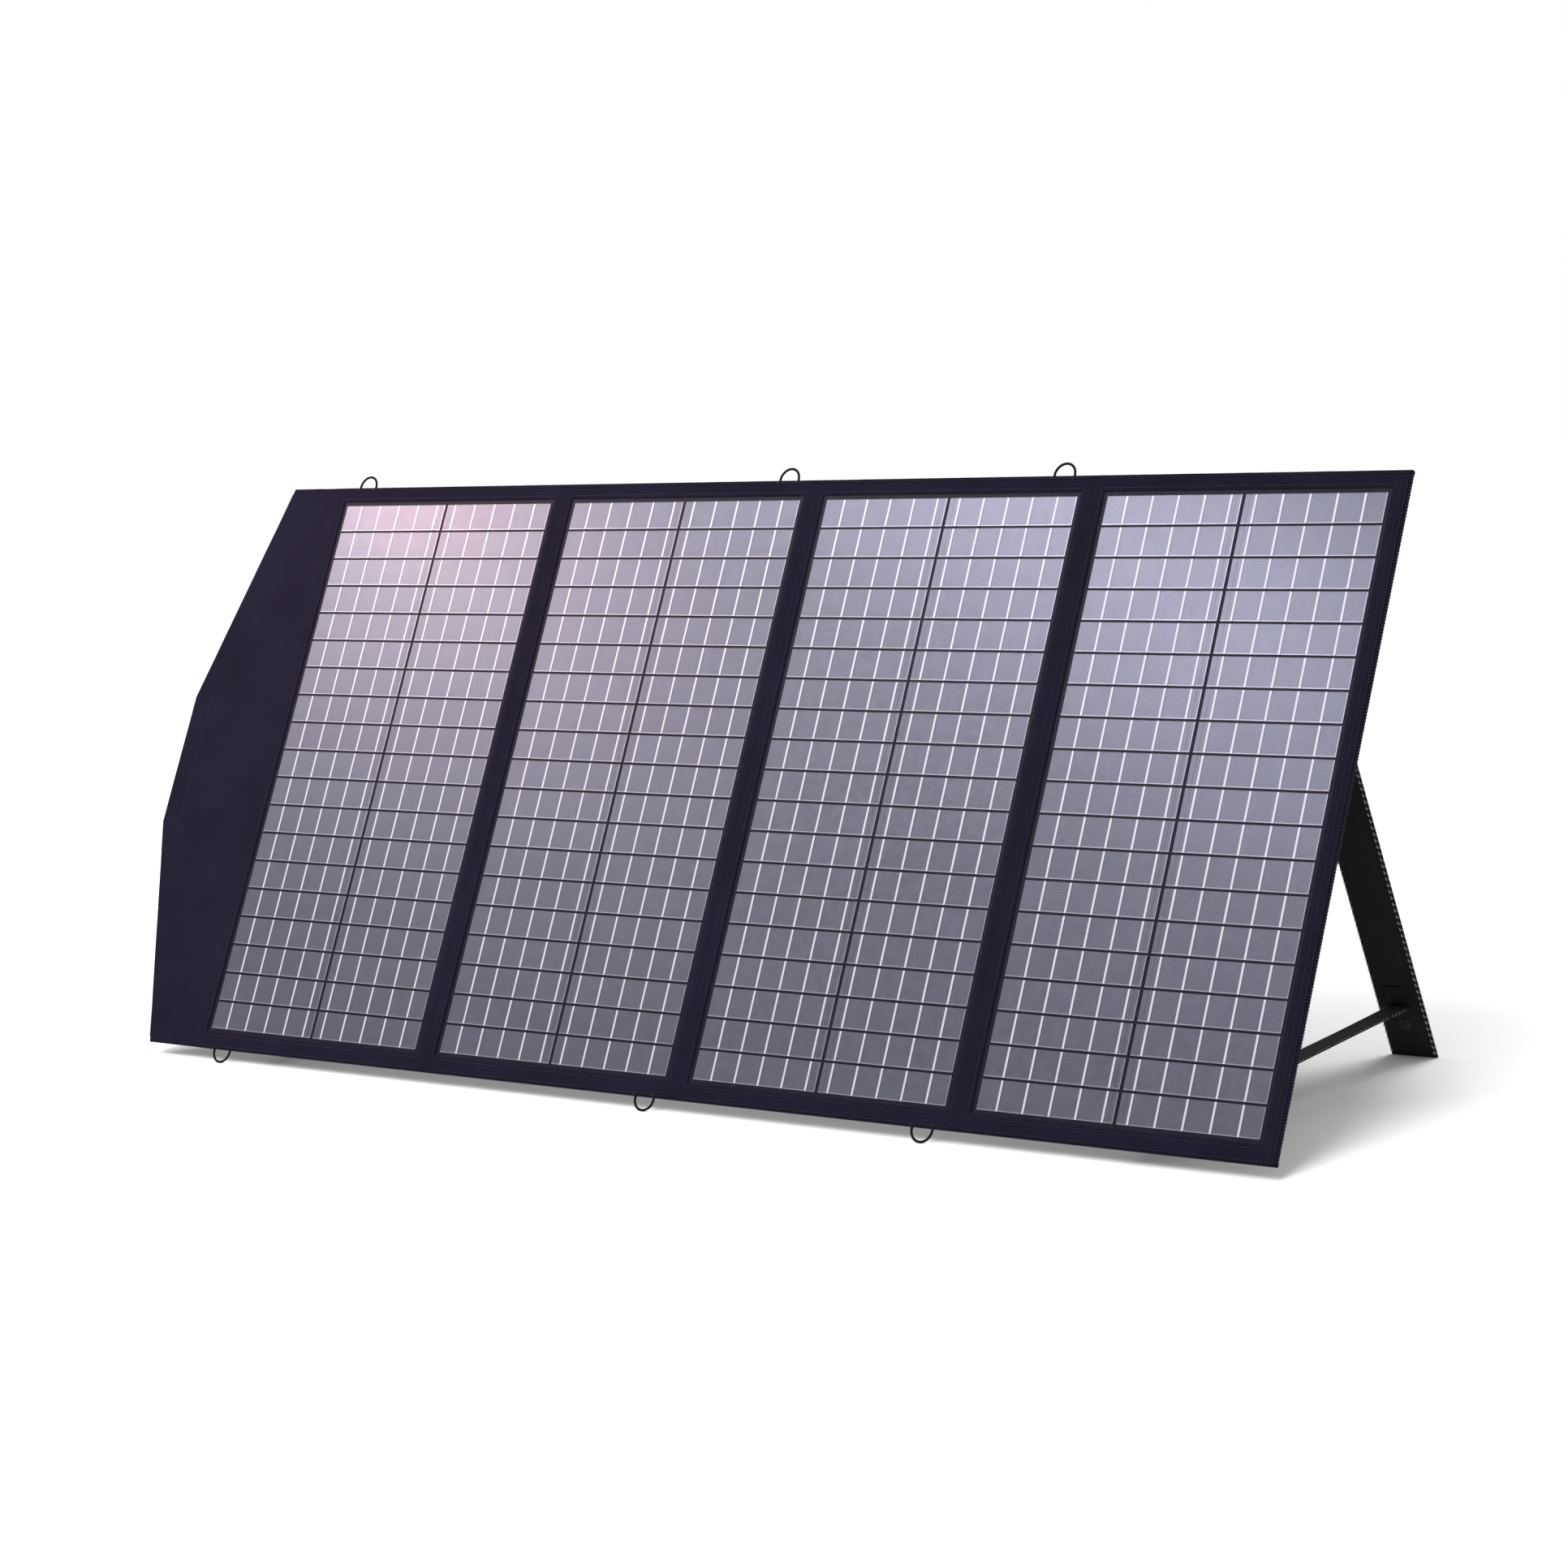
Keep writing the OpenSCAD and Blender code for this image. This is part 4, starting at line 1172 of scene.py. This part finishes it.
def handle():
    """Webbing that narrows at its pins, a soft grip on it, and the sewing that holds its anchors."""
    def web_width(angle):
        rise = HANDLE_RISE * sin(angle)
        return 2.1 + (9 - 2.1) * min(1.0, max(0.0, (rise - 3) / 13)) ** 0.8

    angles = [pi * k / 60 for k in range(61)]
    webbing = arch_bar("handle_webbing", angles, web_width, lambda a: 1.15, HANDLE_WEB)
    ride(webbing, "handle", "handle_strap", slot="webbing")
    reach = asin(min(1, 56 / HANDLE_SPAN))
    grip_angles = [pi / 2 - reach + 2 * reach * k / 40 for k in range(41)]

    def share(angle):
        return abs(angle - pi / 2) / reach

    grip = arch_bar("handle_grip_pad", grip_angles,
                    lambda a: 11.2 - 0.9 * share(a) ** 8 + 0.12 * sin(a * 60),
                    lambda a: 3.3 - 1.3 * share(a) ** 8 + 0.1 * sin(a * 47), FOAM)
    ride(grip, "handle", "handle_grip", slot="grip_pad")
    runs = []
    for x in (-9.4, 9.4):
        points = [at(HANDLE_U + x, *arch_point(angle, 2.75)) for angle in grip_angles[::2]]
        runs += [(start, end, OUT) for start, end in zip(points, points[1:])]
    sew("grip_stitches", "handle", runs, DARK_THREAD, 2.4, 3.4, 0.3, 95)
    for label, end in (("low", -1), ("high", 1)):
        tip, w, across = HANDLE_V + end * 100, 5.55, 7.6
        runs = [upright(HANDLE_U + x, tip - 14, tip + 14, w) for x in (-across, across)]
        runs += [level(HANDLE_U - across, HANDLE_U + across, tip + d, w) for d in (-14, 14)]
        sew(f"anchor_stitches_{label}", "spine", runs, DARK_THREAD, 2.0, 2.9, 0.3, 96)


# ---- box, glands, pocket and zip

def block(name, lo, hi, material, bevel=1.0, segments=3):
    """A moulded block between two (u, v, w) corners, with rounded edges."""
    corners = [at(u, v, w) for u in (lo[0], hi[0]) for v in (lo[1], hi[1]) for w in (lo[2], hi[2])]
    faces = [(0, 1, 3, 2), (4, 6, 7, 5), (0, 4, 5, 1), (2, 3, 7, 6), (0, 2, 6, 4), (1, 5, 7, 3)]
    made = piece(name, corners, faces, material)
    work = bmesh.new()
    work.from_mesh(made.data)
    bmesh.ops.bevel(work, geom=list(work.edges), offset=bevel * MM, segments=segments, profile=0.5,
                    affect="EDGES")
    bmesh.ops.recalc_face_normals(work, faces=work.faces)
    work.to_mesh(made.data)
    work.free()
    return made


def junction_box():
    """A base, a lid with ribs, and four screws."""
    def on_box(name, half_u, half_v, low, high, bevel, *node, dv=0, segments=3):
        made = block(name, (BOX_U - half_u, BOX_V + dv - half_v, PANEL_T + low),
                     (BOX_U + half_u, BOX_V + dv + half_v, PANEL_T + high), BOX, bevel, segments)
        ride(made, "panel_1", *node, slot="box_plastic")

    on_box("box_base", 45, 33, -0.2, 13, 2.2, "junction_box_base")
    on_box("box_cover", 45, 33, 12.7, 16, 1.4, "junction_box_lid")
    for n in range(7):
        on_box(f"box_rib_{n}", 30, 0.9, 15.7, 16.6, 0.4, dv=n * 6 - 18, segments=2)
    screw = [(0.02, 0.1), (0.7, 0.1), (0.9, 0.65), (2.0, 0.75), (2.6, 0.45), (2.8, -0.2), (0.02, -0.2)]
    for n, (du, dv) in enumerate(((-38, -26), (38, -26), (38, 26), (-38, 26))):
        place = at(BOX_U + du, BOX_V + dv, PANEL_T + 16)
        ride(lathe(f"box_screw_{n}", screw, place, OUT, ALONG, STEEL, 20), "panel_1")


def gland(n, u):
    """A cable gland: a hexagonal nut on the box and a domed, fluted cap, open for its cable."""
    place = at(u, BOX_V - 33, PANEL_T + 6.5)
    nut = [(3.3, 0), (6.0, 0), (6.35, 0.5), (6.35, 4.4), (6.0, 5.0), (3.3, 5.0)]
    cap = [(3.3, 5.0), (5.9, 5.0), (6.2, 5.6), (6.2, 10.5), (5.9, 12.4), (5.2, 14.2), (4.4, 15.6),
           (3.5, 16.0), (3.25, 15.5), (3.25, 9.0)]

    def six(angle, k):
        return 0.92 / max(cos((angle % (pi / 3)) - pi / 6), 0.8) if 0 < k < 5 else 1.0

    def fluted(angle, k):
        return 1 + 0.028 * cos(12 * angle) if 1 < k < 5 else 1.0

    for part, profile, count, flute in (("nut", nut, 36, six), ("cap", cap, 48, fluted)):
        made = lathe(f"gland_{part}_{n}", profile, place, -UP, ALONG, NYLON, count, flute)
        ride(made, "panel_1", "cable_glands", slot="gland_nylon")


ZIP_V = POCKET[1][1] - 18


def pocket():
    """The cable pocket: its cloth with a slot for the zip, the zip's tape and teeth, and the slider."""
    (u0, u1), (v0, v1) = POCKET
    slot_u, slot_v = (u0 + 10, u1 - 10), (ZIP_V - 2.5, ZIP_V + 2.5)
    us = lines(u0, u1, 4.5, near(u0 + 3, u1 - 3) + list(slot_u))
    vs = lines(v0, v1, 4.5, near(v0 + 3, v1 - 3) + list(slot_v) + [slot_v[0] - 2, slot_v[1] + 2])

    def inset(u, v):
        return min(u - u0, u1 - u, v - v0, v1 - v)

    def out(u, v):
        edge = inset(u, v)
        to_slot = max(abs(v - ZIP_V) - 2.5, 0)
        droop = 0.55 * exp(-((v - (v0 + v1) / 2 + 10) / 70) ** 2)
        droop *= cos((u - BOX_U) / 75 * pi / 2)
        depth = 6.75 + droop * min(1, edge / 12) + 0.22 * ripple(u, v, 30, 6.0)
        depth -= groove(edge - 3, 0.8, 0.3) + edge_round(edge, 1.6, 0.8)
        if slot_u[0] <= u <= slot_u[1]:
            depth += 0.35 * exp(-(to_slot / 1.2) ** 2)
        return min(depth, 7.4)

    made = cloth("pocket_fabric", us, vs, lambda u, v: out(u, v) - 0.6 if inset(u, v) > 1 else 5.1, out,
                 BACK_CLOTH, opening(us, vs, slot_u, slot_v))
    ride(made, "panel_1", "pocket_cover", slot="back_fabric")
    runs = around((u0 + 3, u1 - 3), (v0 + 3, v1 - 3), 6.6)
    runs += [level(*slot_u, v, 6.95) for v in (ZIP_V - 5, ZIP_V + 5)]
    sew("pocket_stitches", "panel_1", runs, DARK_THREAD, 2.6, 3.6, 0.32, 101)
    ride(cloth("zip_tape", lines(slot_u[0] - 1, slot_u[1] + 1, 5), [ZIP_V + d for d in (-3.4, -1, 1, 3.4)],
               6.1, 6.5, TAPE), "panel_1")
    verts, faces = [], []
    tooth = ((-0.45, -1.3), (0.45, -1.3), (0.45, 1.3), (-0.45, 1.3))
    for n in range(int((slot_u[1] - slot_u[0]) / 1.2)):
        u = slot_u[0] + 0.6 + n * 1.2
        reach = 0.5 if n % 2 else -0.5
        faces += tube_faces(3, len(tooth), len(verts))
        for w, shrink in ((6.4, 1.0), (7.0, 1.0), (7.25, 0.7)):
            verts += [at(u + du * shrink, ZIP_V + reach + dv * shrink, w) for du, dv in tooth]
    ride(piece("zip_teeth", verts, faces, ZIP_METAL, smooth=False), "panel_1", slot="zip_metal")

    u, face = BOX_U - 59, PANEL_T + 2.7
    parts = (((u - 4.5, ZIP_V - 3.5, face), (u + 4.5, ZIP_V + 3.5, face + 2), 0.7),
             ((u - 1.5, ZIP_V - 2, face + 1.8), (u + 1.5, ZIP_V + 2, face + 3.4), 0.5),
             ((u - 2.5, ZIP_V - 20, face + 3.4), (u + 2.5, ZIP_V - 1, face + 4.6), 0.45))
    for n, (lo, hi, bevel) in enumerate(parts):
        made = block(f"zip_slider_{n}", lo, hi, ZIP_METAL, bevel)
        ride(made, "zip_slider", "zip_slider", slot="zip_metal")


# ---- building it all

SIDES = ((-1, "panel_1", "leg_left", "left"), (1, "panel_4", "leg_right", "right"))

for number in (1, 2, 3, 4):
    front_fabric(number)
    back_fabric(number)
    ribbons(number)
    use(CELL, f"panel_{number}_cells")
    use(FILM, f"panel_{number}_film")
    use(BACKING, f"panel_{number}_board")
for number in (1, 2, 3):
    fold, tag = fold_u(number), f"{number}{number + 1}"
    bodies = (f"panel_{number}", f"panel_{number + 1}")
    fold_plies(tag, fold - WEB / 2, fold + WEB / 2, PANEL_T, bodies, f"fold_web_{tag}", 0.35)
    fold_leads(tag, fold - WEB / 2, fold + WEB / 2, bodies)
    for label in ("low", "high"):
        hanging_loop(number, label)
fold_plies("spine", SPINE_HI, SPINE_END, 4.4, ("spine", "panel_1"), "spine_web", 0.0)
fold_plies("flap", FLAP_START, SPINE_LO, 4.0, ("flap", "spine"), "flap_web", 0.0)
spine_fabric()
flap_fabric()
bind_edges()
strike_patch()
for side, panel, body, tag in SIDES:
    leg(side, body, tag)
    leg_hinge(side, panel, tag)
    leg_strap(side, panel, tag)
    strap_tabs(side, panel, body, tag)
    snap(side, body, tag)
handle()
junction_box()
for n, u in enumerate((BOX_U - 20, BOX_U + 20)):
    gland(n, u)
pocket()
use(ANCHOR, "handle_anchors")
use(BOARD, "leg_left_board", "leg_right_board", "flap_board")
use(STEEL, "flap_magnets")


# ---- floor, light and camera

def hang(made, aim, turn=None):
    """Adds a light or camera to the scene, pointed along a direction."""
    made.rotation_mode = "QUATERNION"
    made.rotation_quaternion = Vector(aim).to_track_quat("-Z", "Y") @ (turn or Quaternion())
    bpy.context.scene.collection.objects.link(made)


def light(name, kind, power, colour):
    data = bpy.data.lights.new(name, kind)
    data.energy = power
    data.color = colour
    return bpy.data.objects.new(name, data)


def sun(name, direction, strength, angle):
    made = light(name, "SUN", strength, (1.0, 0.99, 1.0))
    made.data.angle = radians(angle)
    hang(made, direction)


def area_light(name, place, target, size, power, colour):
    made = light(name, "AREA", power, colour)
    made.data.shape = "RECTANGLE"
    made.data.size, made.data.size_y = size
    made.location = place
    made.visible_camera = False
    hang(made, Vector(target) - Vector(place))


def floor():
    half = 30.0
    pale = Shade("pale_floor", 0.9)
    pale.colour((0.95, 0.95, 0.95))
    made = piece("floor", [(-half, -half, 0), (half, -half, 0), (half, half, 0), (-half, half, 0)],
                 [(0, 1, 2, 3)], pale.material, smooth=False)


def world():
    """A white backdrop that lights the scene at half its own brightness."""
    sky = bpy.data.worlds.new("studio")
    sky.use_nodes = True
    nodes, links = sky.node_tree.nodes, sky.node_tree.links
    background = nodes["Background"]
    background.inputs["Color"].default_value = (1.0, 1.0, 1.0, 1)
    seen = nodes.new("ShaderNodeLightPath")
    level = nodes.new("ShaderNodeMapRange")
    level.inputs["To Min"].default_value = 0.5
    level.inputs["To Max"].default_value = 1.0
    links.new(seen.outputs["Is Camera Ray"], level.inputs["Value"])
    links.new(level.outputs["Result"], background.inputs["Strength"])
    bpy.context.scene.world = sky


def camera():
    """A 90 mm lens that looks at the sheet 39 degrees from square on and 8 down, rolled by 4."""
    azimuth, elevation, roll = radians(39.2), radians(8.38), radians(-4.23)
    heading = Vector((-sin(azimuth) * cos(elevation), cos(azimuth) * cos(elevation),
                      -sin(elevation)))
    data = bpy.data.cameras.new("camera")
    data.sensor_width = 36
    data.lens = 90.02
    data.clip_end = 200
    made = bpy.data.objects.new("camera", data)
    made.location = (2.62195, -3.15413, 0.89706)
    hang(made, heading, Quaternion((0, 0, 1), roll))
    bpy.context.scene.camera = made


floor()
world()
camera()
sun("overhead", (-0.03, 0.10, -1.0), 0.85, 14)
sun("front", (-0.12, 0.95, -1.0), 1.45, 26)
area_light("strip", (-1.3, -1.0, 2.2), (0.0, 0.0, 0.5), (2.3, 0.35), 36, (1.0, 0.97, 1.0))
area_light("left_strip", (-2.75, -1.25, 2.2), (-0.5, 0.0, 0.45), (1.3, 0.6), 28, (1.0, 0.88, 0.86))
area_light("warm_corner", (-0.98, -0.22, 0.98), (-0.62, 0.05, 0.58), (0.25, 0.2), 1.3, (1.0, 0.45, 0.42))
area_light("back_fill", (1.0, 3.2, 2.3), (0.0, 0.0, 0.2), (2.6, 1.6), 38, (1.0, 0.98, 0.98))
bpy.context.scene.view_settings.view_transform = "Standard"
